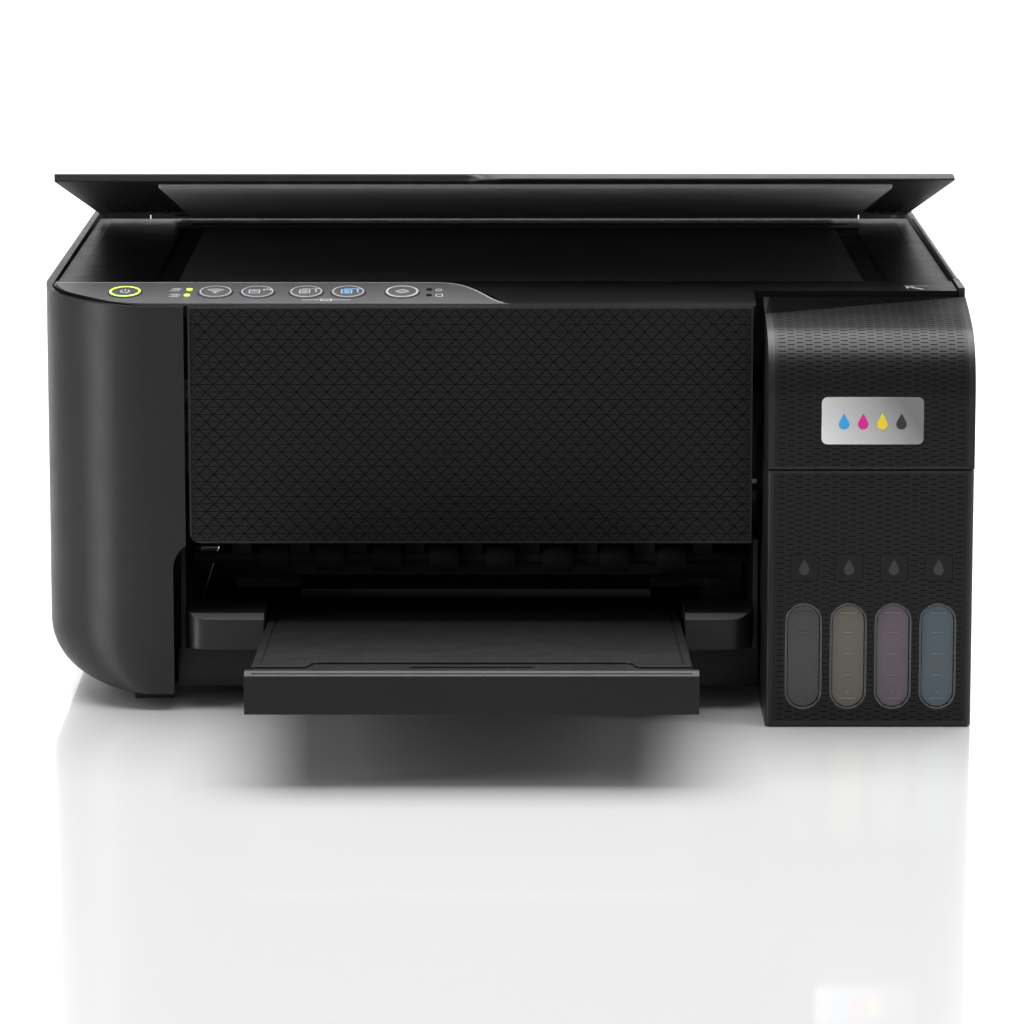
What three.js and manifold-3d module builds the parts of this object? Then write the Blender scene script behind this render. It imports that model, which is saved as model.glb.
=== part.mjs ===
// A three-in-one inkjet printer with refillable ink tanks: base casing, lifting scanner unit,
// document lid, ink tank unit, output tray, rear paper feed and the print mechanism inside.
// Millimetres, +X to the printer's right, +Y to its back, +Z up, standing on Z = 0.
import * as THREE from "three";
import { mergeVertices } from "three/addons/utils/BufferGeometryUtils.js";
import Module from "manifold-3d";

const wasm = await Module();
wasm.setup();

// ---------------------------------------------------------------- driving dimensions
const HALF_WIDTH = 187.5;
const STORED_DEPTH = 347;
const TRAY_REACH = 109; // how far the drawn-out tray stands in front of the tank unit
const BACK_Y = (STORED_DEPTH + TRAY_REACH) / 2;
const TANK_Y = BACK_Y - STORED_DEPTH; // front plane of the ink tank unit

const WALL = 2.5;
const GAP = 0.4; // between neighbouring pieces
const RIM_TOP = 170.5; // top edge of the side casings
const FRONT_TOP = 166; // top edge of the casing at the front
const BODY_SETBACK = 30; // the body's front plane lies this far behind the tank unit's
const CORNER_RADIUS = 46; // the body's rounded front left corner
const BOTTOM_RADIUS = 24; // its rounded lower left edge
const BODY_BOTTOM = 7;
const FLOOR_TOP = 10;

const BAY_LEFT = -134; // side walls of the output bay
const BAY_RIGHT = 105;
const PANEL_LEFT = -127;
const PANEL_RIGHT = 100.4;
const PANEL_BOTTOM = 69.5;

const DECK_TOP = 168; // scanner deck and glass
const FRAME_TOP = 169.4; // the strip between the control panel and the glass
const SCANNER_BACK = 312.5;
const SCANNER_FRONT = 33;
const SCANNER_HINGE = [316, 164]; // distance behind the tank front, height
const CONTROL_REAR = 67;

const LID_HINGE = [308, 171.5];
const LID_OPEN = THREE.MathUtils.degToRad(10);
const LID_HALF_WIDTH = 183.3;
const LID_BOTTOM = 170.1;
const LID_FRONT_TOP = 173.5; // the lid is a wedge, thinnest along its front
const LID_TOP = 179;

const TRAY_SLOPE = THREE.MathUtils.degToRad(3.9);
const TRAY_TOP = 36.3; // top surface of the tray at the body's front plane
const TRAY_X = -12;
const TRAY_HALF_WIDTH = 84.1;

const TANK_PITCH = 17.9;
const TANK_FIRST_X = 120.1;
const COVER_SEAM = 104.5; // between the tank housing and its hinged cover
const COLOURS = ["black", "yellow", "magenta", "cyan"];

const behind = (distance) => TANK_Y + distance; // Y of a point so far behind the tank unit's front
const BODY_Y = behind(BODY_SETBACK);

// ---------------------------------------------------------------- materials
const material = (color, roughness, metalness = 0) =>
  new THREE.MeshStandardMaterial({ color, roughness, metalness });
const CASING = material(0x2b2b2d, 0.5);
const TEXTURED = material(0x1f1f21, 0.45);
const GLOSS = material(0x0c0c0d, 0.12);
const PANEL_GREY = material(0x4c4c4f, 0.4);
const INNER = material(0x161617, 0.6);
const RUBBER = material(0x202020, 0.9);
const STEEL = material(0xb4b6b8, 0.35, 1);
const FOAM = material(0x9a9a9c, 0.9);
const BOARD = material(0x1f5a34, 0.5);
const METAL_CAN = material(0x8d9094, 0.4, 1);
const FELT = material(0xd8d6cf, 1);
const INKS = [0x141414, 0xd9b400, 0xb3206a, 0x1281b0].map((color) => material(color, 0.25));

// ---------------------------------------------------------------- solids
const root = new THREE.Group();

function solidOf(geometry) {
  geometry.deleteAttribute("normal");
  geometry.deleteAttribute("uv");
  const merged = mergeVertices(geometry, 1e-4);
  return new wasm.Manifold(
    new wasm.Mesh({
      numProp: 3,
      vertProperties: merged.attributes.position.array,
      triVerts: new Uint32Array(merged.index.array),
    }),
  );
}

// Adds one named piece to a group. Its solid is given in the group's own frame.
function add(name, solid, finish, group = root) {
  const { vertProperties, triVerts } = solid.getMesh();
  const geometry = new THREE.BufferGeometry();
  geometry.setAttribute("position", new THREE.BufferAttribute(vertProperties, 3));
  geometry.setIndex(new THREE.BufferAttribute(triVerts, 1));
  geometry.computeVertexNormals();
  const mesh = new THREE.Mesh(geometry, finish);
  mesh.name = name;
  group.add(mesh);
  return mesh;
}

function box([x0, x1], [y0, y1], [z0, z1]) {
  const geometry = new THREE.BoxGeometry(x1 - x0, y1 - y0, z1 - z0);
  return solidOf(geometry.translate((x0 + x1) / 2, (y0 + y1) / 2, (z0 + z1) / 2));
}

const extruded = (shape, depth, curveSegments) =>
  new THREE.ExtrudeGeometry(shape, { depth, bevelEnabled: false, curveSegments });

// A section in X and Z, drawn along Y.
function alongY(shape, [y0, y1], segments = 8) {
  const turn = new THREE.Matrix4().makeBasis(
    new THREE.Vector3(1, 0, 0),
    new THREE.Vector3(0, 0, 1),
    new THREE.Vector3(0, -1, 0),
  );
  return solidOf(extruded(shape, y1 - y0, segments).applyMatrix4(turn).translate(0, y1, 0));
}

// A section in Y and Z, drawn along X.
function alongX(shape, [x0, x1], segments = 8) {
  const turn = new THREE.Matrix4().makeBasis(
    new THREE.Vector3(0, 1, 0),
    new THREE.Vector3(0, 0, 1),
    new THREE.Vector3(1, 0, 0),
  );
  return solidOf(extruded(shape, x1 - x0, segments).applyMatrix4(turn).translate(x0, 0, 0));
}

// A plan in X and Y, drawn up along Z.
const alongZ = (shape, [z0, z1], segments = 8) =>
  solidOf(extruded(shape, z1 - z0, segments).translate(0, 0, z0));

const polygon = (points) => new THREE.Shape(points.map(([x, y]) => new THREE.Vector2(x, y)));

function ellipse(cx, cy, rx, ry = rx) {
  const shape = new THREE.Shape();
  shape.absellipse(cx, cy, rx, ry, 0, 2 * Math.PI);
  return shape;
}

// A rectangle with round corners, given by its two corners.
function roundedRectangle([x0, x1], [y0, y1], r) {
  const shape = new THREE.Shape();
  shape.moveTo(x0 + r, y0);
  shape.lineTo(x1 - r, y0);
  shape.absarc(x1 - r, y0 + r, r, -Math.PI / 2, 0);
  shape.lineTo(x1, y1 - r);
  shape.absarc(x1 - r, y1 - r, r, 0, Math.PI / 2);
  shape.lineTo(x0 + r, y1);
  shape.absarc(x0 + r, y1 - r, r, Math.PI / 2, Math.PI);
  shape.lineTo(x0, y0 + r);
  shape.absarc(x0 + r, y0 + r, r, Math.PI, 1.5 * Math.PI);
  return shape;
}

// A round bar along X through the point (y, z).
const barX = (r, [x0, x1], [y, z], segments = 10) => alongX(ellipse(y, z, r), [x0, x1], segments);
const barY = (r, [y0, y1], [x, z], segments = 10) => alongY(ellipse(x, z, r), [y0, y1], segments);
const barZ = (r, [z0, z1], [x, y], segments = 10) => alongZ(ellipse(x, y, r), [z0, z1], segments);

const union = (solids) => solids.reduce((whole, solid) => whole.add(solid));
const cut = (solid, tools) => tools.reduce((rest, tool) => rest.subtract(tool), solid);
const FAR = 400;

// ---------------------------------------------------------------- casing
// Plan of the body's left side, set in from the outer face, open along its right edge.
function leftPlan(inset, rightEdge) {
  const left = -HALF_WIDTH + inset;
  const front = BODY_Y + inset;
  const back = BACK_Y - inset;
  const cornerX = -HALF_WIDTH + CORNER_RADIUS;
  const rearRadius = 10;
  const shape = new THREE.Shape();
  shape.moveTo(rightEdge, front);
  shape.lineTo(rightEdge, back);
  shape.lineTo(-HALF_WIDTH + rearRadius, back);
  shape.absarc(-HALF_WIDTH + rearRadius, BACK_Y - rearRadius, rearRadius - inset, Math.PI / 2, Math.PI);
  shape.lineTo(left, BODY_Y + CORNER_RADIUS);
  shape.absarc(cornerX, BODY_Y + CORNER_RADIUS, CORNER_RADIUS - inset, Math.PI, 1.5 * Math.PI);
  return shape;
}

// Front view of the same side, with its rounded lower edge.
function leftSection(inset, rightEdge) {
  const left = -HALF_WIDTH + inset;
  const bottom = BODY_BOTTOM + inset;
  const centre = BODY_BOTTOM + BOTTOM_RADIUS;
  const shape = new THREE.Shape();
  shape.moveTo(rightEdge, bottom);
  shape.lineTo(rightEdge, RIM_TOP + inset);
  shape.lineTo(left, RIM_TOP + inset);
  shape.lineTo(left, centre);
  shape.absarc(-HALF_WIDTH + BOTTOM_RADIUS, centre, BOTTOM_RADIUS - inset, Math.PI, 1.5 * Math.PI);
  return shape;
}

// What the side rims lose where they slope down to the front.
const rimSlope = () =>
  alongX(
    polygon([
      [BODY_Y - 60, FRONT_TOP],
      [BODY_Y, FRONT_TOP],
      [BODY_Y + CORNER_RADIUS, RIM_TOP],
      [BODY_Y + CORNER_RADIUS, FAR],
      [BODY_Y - 60, FAR],
    ]),
    [-FAR, -100],
  );

function leftCover() {
  const rightEdge = -128.7;
  const outer = alongZ(leftPlan(0, rightEdge), [0, FAR], 14).intersect(
    alongY(leftSection(0, rightEdge), [-FAR, FAR], 10),
  );
  const inner = alongZ(leftPlan(WALL, rightEdge + 9), [0, FAR], 14).intersect(
    alongY(leftSection(WALL, rightEdge + 9), [-FAR, FAR], 10),
  );
  const bayCorner = new THREE.Shape();
  const r = 12;
  bayCorner.moveTo(BAY_LEFT, 0);
  const springing = 58.5;
  bayCorner.lineTo(BAY_LEFT, springing);
  bayCorner.absarc(BAY_LEFT + r, springing, r, Math.PI, Math.PI / 2, true);
  bayCorner.lineTo(-100, springing + r);
  bayCorner.lineTo(-100, 0);
  return cut(outer, [
    inner,
    rimSlope(),
    alongY(bayCorner, [-FAR, FAR]),
    box([-164, 0], [BACK_Y - 20, FAR], [BODY_BOTTOM + WALL, FAR]),
  ]);
}

// The right side wall behind the tank housing, with its return round the rear corner.
function rightCover() {
  const shape = new THREE.Shape();
  const r = 10;
  const inner = HALF_WIDTH - WALL;
  shape.moveTo(HALF_WIDTH, behind(84));
  shape.lineTo(HALF_WIDTH, BACK_Y - r);
  shape.absarc(HALF_WIDTH - r, BACK_Y - r, r, 0, Math.PI / 2);
  shape.lineTo(164.8, BACK_Y);
  shape.lineTo(164.8, BACK_Y - WALL);
  shape.lineTo(HALF_WIDTH - r, BACK_Y - WALL);
  shape.absarc(HALF_WIDTH - r, BACK_Y - r, r - WALL, Math.PI / 2, 0, true);
  shape.lineTo(inner, behind(84));
  return alongZ(shape, [BODY_BOTTOM, RIM_TOP]);
}

const MAINS_INLET = { x: [122, 150], z: [18, 40] };
const USB_SOCKET = { x: [92, 105], z: [22, 34] };

function rearCover() {
  const wall = box([-163.6, 164.4], [BACK_Y - WALL, BACK_Y], [BODY_BOTTOM + WALL + GAP, DECK_TOP]);
  const shelf = box([-163.6, 164.4], [behind(319), BACK_Y - 1], [158, 160.5]);
  const shelfEnds = box([-184.4, 184.4], [behind(319), BACK_Y - 12], [158, 160.5]);
  const feedMouth = box([-119, 95], [behind(310), behind(343)], [150, 170]);
  const openings = [MAINS_INLET, USB_SOCKET].map(({ x, z }) =>
    box([x[0] - GAP, x[1] + GAP], [BACK_Y - 5, FAR], [z[0] - GAP, z[1] + GAP]),
  );
  return cut(union([wall, shelf, shelfEnds]), [...openings, feedMouth]);
}

function addCasing() {
  add("left_cover", leftCover(), CASING);
  add("right_cover", rightCover(), CASING);
  add("rear_cover", rearCover(), CASING);
  const floor = box([BAY_LEFT + 0.6, 104.3], [behind(46), BACK_Y - WALL - GAP], [BODY_BOTTOM, FLOOR_TOP]);
  const rightFloor = box([104, 176], [behind(84), BACK_Y - WALL - GAP], [BODY_BOTTOM, FLOOR_TOP]);
  const rightEdge = box([175, HALF_WIDTH - WALL - GAP], [behind(84), BACK_Y - 12], [BODY_BOTTOM, FLOOR_TOP]);
  const toeWall = box([BAY_LEFT + 0.6, 104.3], [behind(46), behind(48)], [BODY_BOTTOM, 23]);
  const bayWall = (x0) => box([x0, x0 + 2], [behind(46), behind(150)], [BODY_BOTTOM, 68]);
  const rearFoot = (x) => barZ(8, [0, BODY_BOTTOM + 1], [x, BACK_Y - 30], 12);
  add(
    "base_plate",
    union([floor, rightFloor, rightEdge, toeWall, bayWall(-132), bayWall(102), rearFoot(-120), rearFoot(150)]),
    INNER,
  );
  add("foot_left", box([-152, -136], [behind(54), behind(70)], [0, BODY_BOTTOM - 0.3]), RUBBER);
  add("foot_right", barZ(8, [0, BODY_BOTTOM - 0.3], [146, behind(96)], 12), RUBBER);
}

// ---------------------------------------------------------------- tank unit
// Outer side view of the tank cover, set in by the wall thickness for its hollow.
function tankCoverSection(inset) {
  const shape = new THREE.Shape();
  const bottom = inset ? 90 : COVER_SEAM + GAP;
  const rear = inset ? 80 : 51.5;
  shape.moveTo(behind(rear), bottom);
  shape.lineTo(behind(rear), 167.2 - inset + (rear - 51.5) * 0.2);
  shape.lineTo(behind(51.5), 167.2 - inset);
  shape.lineTo(behind(32), 163 - inset);
  shape.lineTo(behind(16), 158.7 - inset);
  shape.bezierCurveTo(
    behind(5 + inset / 2), 155.5 - inset,
    behind(inset), 151 - inset,
    behind(inset), 136,
  );
  shape.lineTo(behind(inset), bottom);
  return shape;
}

function tankCover() {
  const [left, right] = [BAY_RIGHT + 0.3, HALF_WIDTH];
  return alongX(tankCoverSection(0), [left, right], 10).subtract(
    alongX(tankCoverSection(WALL), [left + WALL, right - WALL], 10),
  );
}

const WINDOW = { halfWidth: 6.9, bottom: 7.8, top: 50.1 };
const tankX = (index) => TANK_FIRST_X + index * TANK_PITCH;

function windowShape(x, inset) {
  const half = WINDOW.halfWidth - inset;
  return roundedRectangle([x - half, x + half], [WINDOW.bottom + inset, WINDOW.top - inset], half - 0.01);
}

// Front wall, both side walls and floor of the ink tank unit. The right wall is also the
// body's side wall there, so it rises behind the cover to the rim.
function tankHousing() {
  const [left, right] = [BAY_RIGHT, HALF_WIDTH];
  const bottom = 0.6;
  const back = behind(83.6);
  const plan = roundedRectangle([left, right], [TANK_Y, back + 10], 2);
  const hollow = roundedRectangle([left + WALL, right - WALL], [TANK_Y + WALL, FAR], 1.5);
  const shell = alongZ(plan, [bottom, RIM_TOP], 4)
    .subtract(alongZ(hollow, [bottom + WALL, FAR], 4))
    .subtract(box([0, FAR], [back, FAR], [-1, FAR]));
  const windows = COLOURS.map((_, i) => alongY(windowShape(tankX(i), 0), [TANK_Y - 5, TANK_Y + 5], 8));
  return cut(shell, [
    box([0, FAR], [-FAR, behind(54)], [COVER_SEAM, FAR]),
    box([0, right - WALL - 0.1], [-FAR, FAR], [COVER_SEAM, FAR]),
    ...windows,
  ]);
}

function inkTank(x) {
  const body = box([x - 8.3, x + 8.3], [behind(4), behind(58)], [6, 78]);
  const window = alongY(windowShape(x, 0.3), [behind(0.4), behind(5)], 8);
  const neck = barZ(4.5, [77, 86], [x, behind(36)], 8);
  return union([body, window, neck]);
}

// A cap on its tank's filler neck, with the lever that it hinges back on.
function tankCap(x) {
  const skirt = barZ(7.2, [84, 92], [x, behind(36)], 8);
  const lever = box([x - 3.5, x + 3.5], [behind(36), behind(57)], [87, 91]);
  const nose = box([x - 3, x + 3], [behind(26), behind(30)], [88, 91.5]);
  return union([skirt, lever, nose]).subtract(barZ(5.9, [70, 86.4], [x, behind(36)], 8));
}

function addTankUnit() {
  add("tank_housing", tankHousing(), TEXTURED);
  add("ink_tank_cover", tankCover(), TEXTURED);
  COLOURS.forEach((colour, i) => {
    add(`ink_tank_${colour}`, inkTank(tankX(i)), INKS[i]);
    add(`tank_cap_${colour}`, tankCap(tankX(i)), INNER);
  });
}

// ---------------------------------------------------------------- scanner unit
// Plan of the scanner unit: round at the front left, stepped round the tank unit at the right.
function scannerPlan() {
  const inset = 3.1;
  const shape = new THREE.Shape();
  const side = HALF_WIDTH - inset;
  const back = behind(SCANNER_BACK);
  shape.moveTo(101.6, behind(SCANNER_FRONT));
  shape.lineTo(101.6, behind(54));
  shape.lineTo(side, behind(54));
  shape.lineTo(side, back);
  shape.lineTo(-side, back);
  shape.lineTo(-side, BODY_Y + CORNER_RADIUS);
  shape.absarc(
    -HALF_WIDTH + CORNER_RADIUS, BODY_Y + CORNER_RADIUS, CORNER_RADIUS - inset, Math.PI, 1.5 * Math.PI,
  );
  return shape;
}

const CONTROL_FRONT_TOP = 167;
const CONTROL_REAR_TOP = 171;
const PANEL_TILT = Math.atan2(CONTROL_REAR_TOP - CONTROL_FRONT_TOP, CONTROL_REAR - SCANNER_FRONT);
const panelHeight = (distance) =>
  CONTROL_FRONT_TOP + (distance - SCANNER_FRONT) * Math.tan(PANEL_TILT);

const GLASS = { x: [-143, 157.5], y: [84, 304] };

// Plan of the control panel: it follows the casing's round corner, and its right end
// runs out to the front edge in an S.
function controlPanelPlan(grow) {
  const shape = new THREE.Shape();
  const front = behind(SCANNER_FRONT) - grow;
  const rear = behind(CONTROL_REAR) + grow;
  const cornerX = -HALF_WIDTH + CORNER_RADIUS;
  const cornerY = BODY_Y + CORNER_RADIUS;
  const r = CORNER_RADIUS - 3.5 + grow;
  const lastAngle = Math.PI + Math.asin((cornerY - rear) / r);
  const right = -1 + 3 * grow;
  shape.moveTo(right, front);
  shape.bezierCurveTo(right - 9, front + 1, right - 12, rear, right - 29, rear);
  shape.lineTo(cornerX + r * Math.cos(lastAngle), rear);
  shape.absarc(cornerX, cornerY, r, lastAngle, 1.5 * Math.PI);
  return shape;
}

// A slab that lies parallel to the sloping control panel, from below to above its top face.
const panelSlab = (below, above) =>
  alongX(
    polygon([
      [behind(20), panelHeight(20) - below],
      [behind(75), panelHeight(75) - below],
      [behind(75), panelHeight(75) + above],
      [behind(20), panelHeight(20) + above],
    ]),
    [-FAR, FAR],
  );

const BUTTONS = [
  ["power_button", -153.5, 6.6, 8.5],
  ["wireless_button", -116.8, 6.9, 9.5],
  ["status_button", -99.8, 6.9, 9.5],
  ["mono_copy_button", -80, 6.9, 9.5],
  ["colour_copy_button", -63, 6.9, 9.5],
  ["stop_button", -41.1, 6.9, 9.5],
];
const BUTTON_ROW = 50.5; // distance of the button row behind the tank unit's front

function buttonSolid([, x, rx, ry], grow, below, above) {
  const plan = ellipse(x, behind(BUTTON_ROW), rx + grow, ry + grow);
  return alongZ(plan, [120, 190], 8).intersect(panelSlab(below, above));
}

function controlPanel() {
  const slab = alongZ(controlPanelPlan(0), [120, 190]).intersect(panelSlab(2.4, 0));
  return cut(slab, BUTTONS.map((button) => buttonSolid(button, 0.3, 9, 9)));
}

function scannerFrame() {
  const section = polygon([
    [behind(SCANNER_FRONT), 161],
    [behind(60), 161],
    [behind(60), 163],
    [behind(SCANNER_BACK), 163],
    [behind(SCANNER_BACK), DECK_TOP],
    [behind(GLASS.y[0] - 0.6), DECK_TOP],
    [behind(GLASS.y[0] - 0.6), FRAME_TOP],
    [behind(60), FRAME_TOP],
    [behind(SCANNER_FRONT), CONTROL_FRONT_TOP],
  ]);
  const body = alongZ(scannerPlan(), [120, 190], 14).intersect(alongX(section, [-FAR, FAR]));
  const { x, y } = GLASS;
  const ledge = 4;
  return cut(body, [
    alongZ(controlPanelPlan(0.3), [120, 190]).intersect(panelSlab(2.7, 9)),
    ...BUTTONS.map((button) => buttonSolid(button, 0.3, 5.2, 9)),
    box([x[0] - 0.3, x[1] + 0.3], [behind(y[0] - 0.3), behind(y[1] + 0.3)], [165, 190]),
    box([x[0] + ledge, x[1] - ledge], [behind(y[0] + ledge), behind(y[1] - ledge)], [150, 190]),
  ]);
}

// The tub under the frame that the scan head runs in.
function scannerTub() {
  const [x, y] = [178, [64, 310]];
  const outer = box([-x, x], [behind(y[0]), behind(y[1])], [138, 162.6]);
  const inner = box([-x + WALL, x - WALL], [behind(y[0] + WALL), behind(y[1] - WALL)], [138 + WALL, 190]);
  return outer.subtract(inner);
}

function addScannerUnit() {
  add("scanner_frame", scannerFrame(), GLOSS);
  add("scanner_tub", scannerTub(), INNER);
  const { x, y } = GLASS;
  add("scanner_glass", box(x, y.map(behind), [165.3, DECK_TOP]), GLOSS);
  add("control_panel", controlPanel(), PANEL_GREY);
  BUTTONS.forEach((button) => add(button[0], buttonSolid(button, 0, 3.4, 0.5), PANEL_GREY));
  const panelTop = 160.6;
  const plate = box([PANEL_LEFT, PANEL_RIGHT], [BODY_Y, BODY_Y + WALL], [PANEL_BOTTOM, FRONT_TOP - 0.1]);
  const flange = box([PANEL_LEFT, PANEL_RIGHT], [BODY_Y, behind(60)], [panelTop - 2, panelTop]);
  add("front_panel", plate.add(flange), TEXTURED);
  const head = box([-139, -117], [behind(88), behind(300)], [150, 162]);
  add("scan_head", head, INNER);
  add("scan_rail", barX(3, [-174, 174], [behind(194), 145.5], 6), STEEL);
  const [distance, height] = SCANNER_HINGE;
  add("scanner_hinge_rod", barX(2, [-172, 172], [behind(distance), height], 6), STEEL);
}

// ---------------------------------------------------------------- document lid
// The lid is drawn closed, in a group that turns about its hinge line.
function addLid() {
  const group = new THREE.Group();
  const [distance, height] = LID_HINGE;
  group.position.set(0, behind(distance), height);
  group.rotation.x = -LID_OPEN;
  root.add(group);
  const y = (d) => d - distance;
  const z = (h) => h - height;

  const bottom = z(LID_BOTTOM);
  const frontTop = z(LID_FRONT_TOP);
  const top = z(LID_TOP);
  const rear = y(305);
  const section = (foot) =>
    polygon([[y(foot), bottom], [rear, bottom], [rear, top], [y(66.8), frontTop]]);
  const split = -8;
  const left = alongX(section(67.8), [-LID_HALF_WIDTH, split]);
  const shell = left.add(alongX(section(57), [split - 0.5, LID_HALF_WIDTH]));
  const pad = { x: [-142, 160], y: [y(86), y(300)] };
  const padTop = z(171);
  const grow = (range, by) => [range[0] - by, range[1] + by];
  const [hollowFront, hollowRear] = grow(pad.y, -6);
  const hollow = polygon([
    [hollowFront, padTop],
    [hollowRear, padTop],
    [hollowRear, top - WALL - 0.4],
    [hollowFront, padTop + GAP + 0.1],
  ]);
  const lid = cut(shell, [
    box(grow(pad.x, GAP), grow(pad.y, GAP), [bottom - 9, padTop + GAP]),
    alongX(hollow, grow(pad.x, -6)),
  ]);
  add("document_lid", lid, CASING, group);
  add("lid_pad", box(pad.x, pad.y, [z(DECK_TOP + 0.6), padTop]), FOAM, group);
  add("lid_hinge_rod", barX(2, [-150, 150], [0, 0], 6), STEEL, group);
}

// ---------------------------------------------------------------- output
function addOutput() {
  const blockHeight = [25.4, 38];
  const block = (x0, x1) =>
    alongY(roundedRectangle([x0, x1], blockHeight, 3), [BODY_Y, behind(58)], 4);
  const tie = box([-99, 75], [behind(50), behind(57)], [25.4, 27.4]);
  add("output_frame", union([block(-129.4, -97.2), block(73.6, 101.6), tie]), CASING);

  const group = new THREE.Group();
  group.position.set(TRAY_X, BODY_Y, TRAY_TOP);
  group.rotation.x = -TRAY_SLOPE;
  root.add(group);
  const reach = (TRAY_REACH + BODY_SETBACK) / Math.cos(TRAY_SLOPE);
  const lipBottomDrop = Math.sin(TRAY_SLOPE) * 18; // the lip leans, and its lowest corner leads
  const front = -reach + lipBottomDrop;
  const w = TRAY_HALF_WIDTH;
  const rear = 40;

  // The tray's plate stops short of the extension's tongue, with an S at each side.
  const mouth = new THREE.Shape();
  const [wide, narrow] = [front + 14, front + 26];
  mouth.moveTo(-w, rear);
  mouth.lineTo(-w, wide);
  mouth.lineTo(-w + 19, wide);
  mouth.bezierCurveTo(-w + 24, wide, -w + 20, narrow, -w + 26, narrow);
  mouth.lineTo(w - 26, narrow);
  mouth.bezierCurveTo(w - 20, narrow, w - 24, wide, w - 19, wide);
  mouth.lineTo(w, wide);
  mouth.lineTo(w, rear);
  const plate = alongZ(mouth, [-2, 0], 5);
  const rail = (side) => {
    const [x0, x1] = side < 0 ? [-w, -w + 2] : [w - 2, w];
    const [f0, f1] = side < 0 ? [-w, -w + 8] : [w - 8, w];
    return union([box([x0, x1], [wide, rear], [-6.8, 0]), box([f0, f1], [wide, rear], [-6.8, -5.4])]);
  };
  add("output_tray", union([plate, rail(-1), rail(1)]), CASING, group);

  const tongue = new THREE.Shape();
  const t = GAP;
  tongue.moveTo(-w + 0.5, front + 1);
  tongue.lineTo(w - 0.5, front + 1);
  tongue.lineTo(w - 0.5, wide - t);
  tongue.lineTo(w - 19, wide - t);
  tongue.bezierCurveTo(w - 24 - t, wide - t, w - 20 - t, narrow - t, w - 26 - t, narrow - t);
  tongue.lineTo(-w + 26 + t, narrow - t);
  tongue.bezierCurveTo(-w + 20 + t, narrow - t, -w + 24 + t, wide - t, -w + 19, wide - t);
  tongue.lineTo(-w + 0.5, wide - t);
  const slot = roundedRectangle([-24, 24], [narrow - 8, narrow - 3.5], 2);
  const sheet = box([-w + 2.4, w - 2.4], [front + 1, rear - 4], [-5, -2.4]);
  const lipSection = new THREE.Shape();
  lipSection.moveTo(front, -17.5);
  lipSection.lineTo(front + 3, -17.5);
  lipSection.lineTo(front + 3, -5);
  lipSection.lineTo(front + 6, 0);
  lipSection.lineTo(front + 2.2, 0);
  lipSection.lineTo(front + 1.5, -1.6);
  lipSection.lineTo(front, -5.2);
  const lip = alongX(lipSection, [-w - 2.2, w + 2.2]);
  const extension = union([alongZ(tongue, [-5, 0], 5), sheet, lip]);
  add("tray_extension", extension.subtract(alongZ(slot, [-1.2, 9], 4)), CASING, group);
}

// ---------------------------------------------------------------- rear paper feed
function addRearFeed() {
  add("paper_support", box([-100, 76], [behind(339), behind(341.4)], [45, 165]), CASING);
  const hopper = polygon([
    [behind(338.4), 165],
    [behind(336.6), 165],
    [behind(336.6), 110],
    [behind(298), 70],
    [behind(298), 67],
    [behind(338.4), 108.6],
  ]);
  const frontWall = box([-117, 93], [behind(320), behind(322)], [116, 163.5]);
  const side = (x0) => box([x0, x0 + 2], [behind(320), behind(338)], [116, 163.5]);
  const chute = union([alongX(hopper, [-116, 92]), frontWall, side(-117.5), side(91.5)]);
  add("paper_hopper", chute, INNER);
  const guard = box([-114, 90], [behind(324.5), behind(337.6)], [165.6, DECK_TOP]);
  add("feeder_guard", guard, CASING);
  const guide = (x0) => box([x0, x0 + 2.5], [behind(322.5), behind(336)], [118, 163]);
  add("edge_guide_left", guide(-113), CASING);
  add("edge_guide_right", guide(86.5), CASING);
  const pickup = barX(10, [-40, 16], [behind(312), 102], 10).add(barX(3, [-124, 98], [behind(312), 102], 8));
  add("pickup_roller", pickup, RUBBER);
}

// ---------------------------------------------------------------- print mechanism
function rollerShaft([distance, z], shaftRadius, rollerRadius, ends, places, width) {
  const shaft = barX(shaftRadius, ends, [behind(distance), z], 6);
  const rollers = places.map((x) =>
    barX(rollerRadius, [x - width / 2, x + width / 2], [behind(distance), z], 8),
  );
  return union([shaft, ...rollers]);
}

const spread = (count, first, last) =>
  Array.from({ length: count }, (_, i) => first + ((last - first) * i) / (count - 1));

function belt([x0, x1], y, zCentre, radius, thickness) {
  const loop = (r) => {
    const shape = new THREE.Shape();
    shape.moveTo(x0, zCentre - r);
    shape.lineTo(x1, zCentre - r);
    shape.absarc(x1, zCentre, r, -Math.PI / 2, Math.PI / 2);
    shape.lineTo(x0, zCentre + r);
    shape.absarc(x0, zCentre, r, Math.PI / 2, 1.5 * Math.PI);
    return shape;
  };
  return alongY(loop(radius + thickness), y, 6).subtract(alongY(loop(radius), [-FAR, FAR], 6));
}

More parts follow.
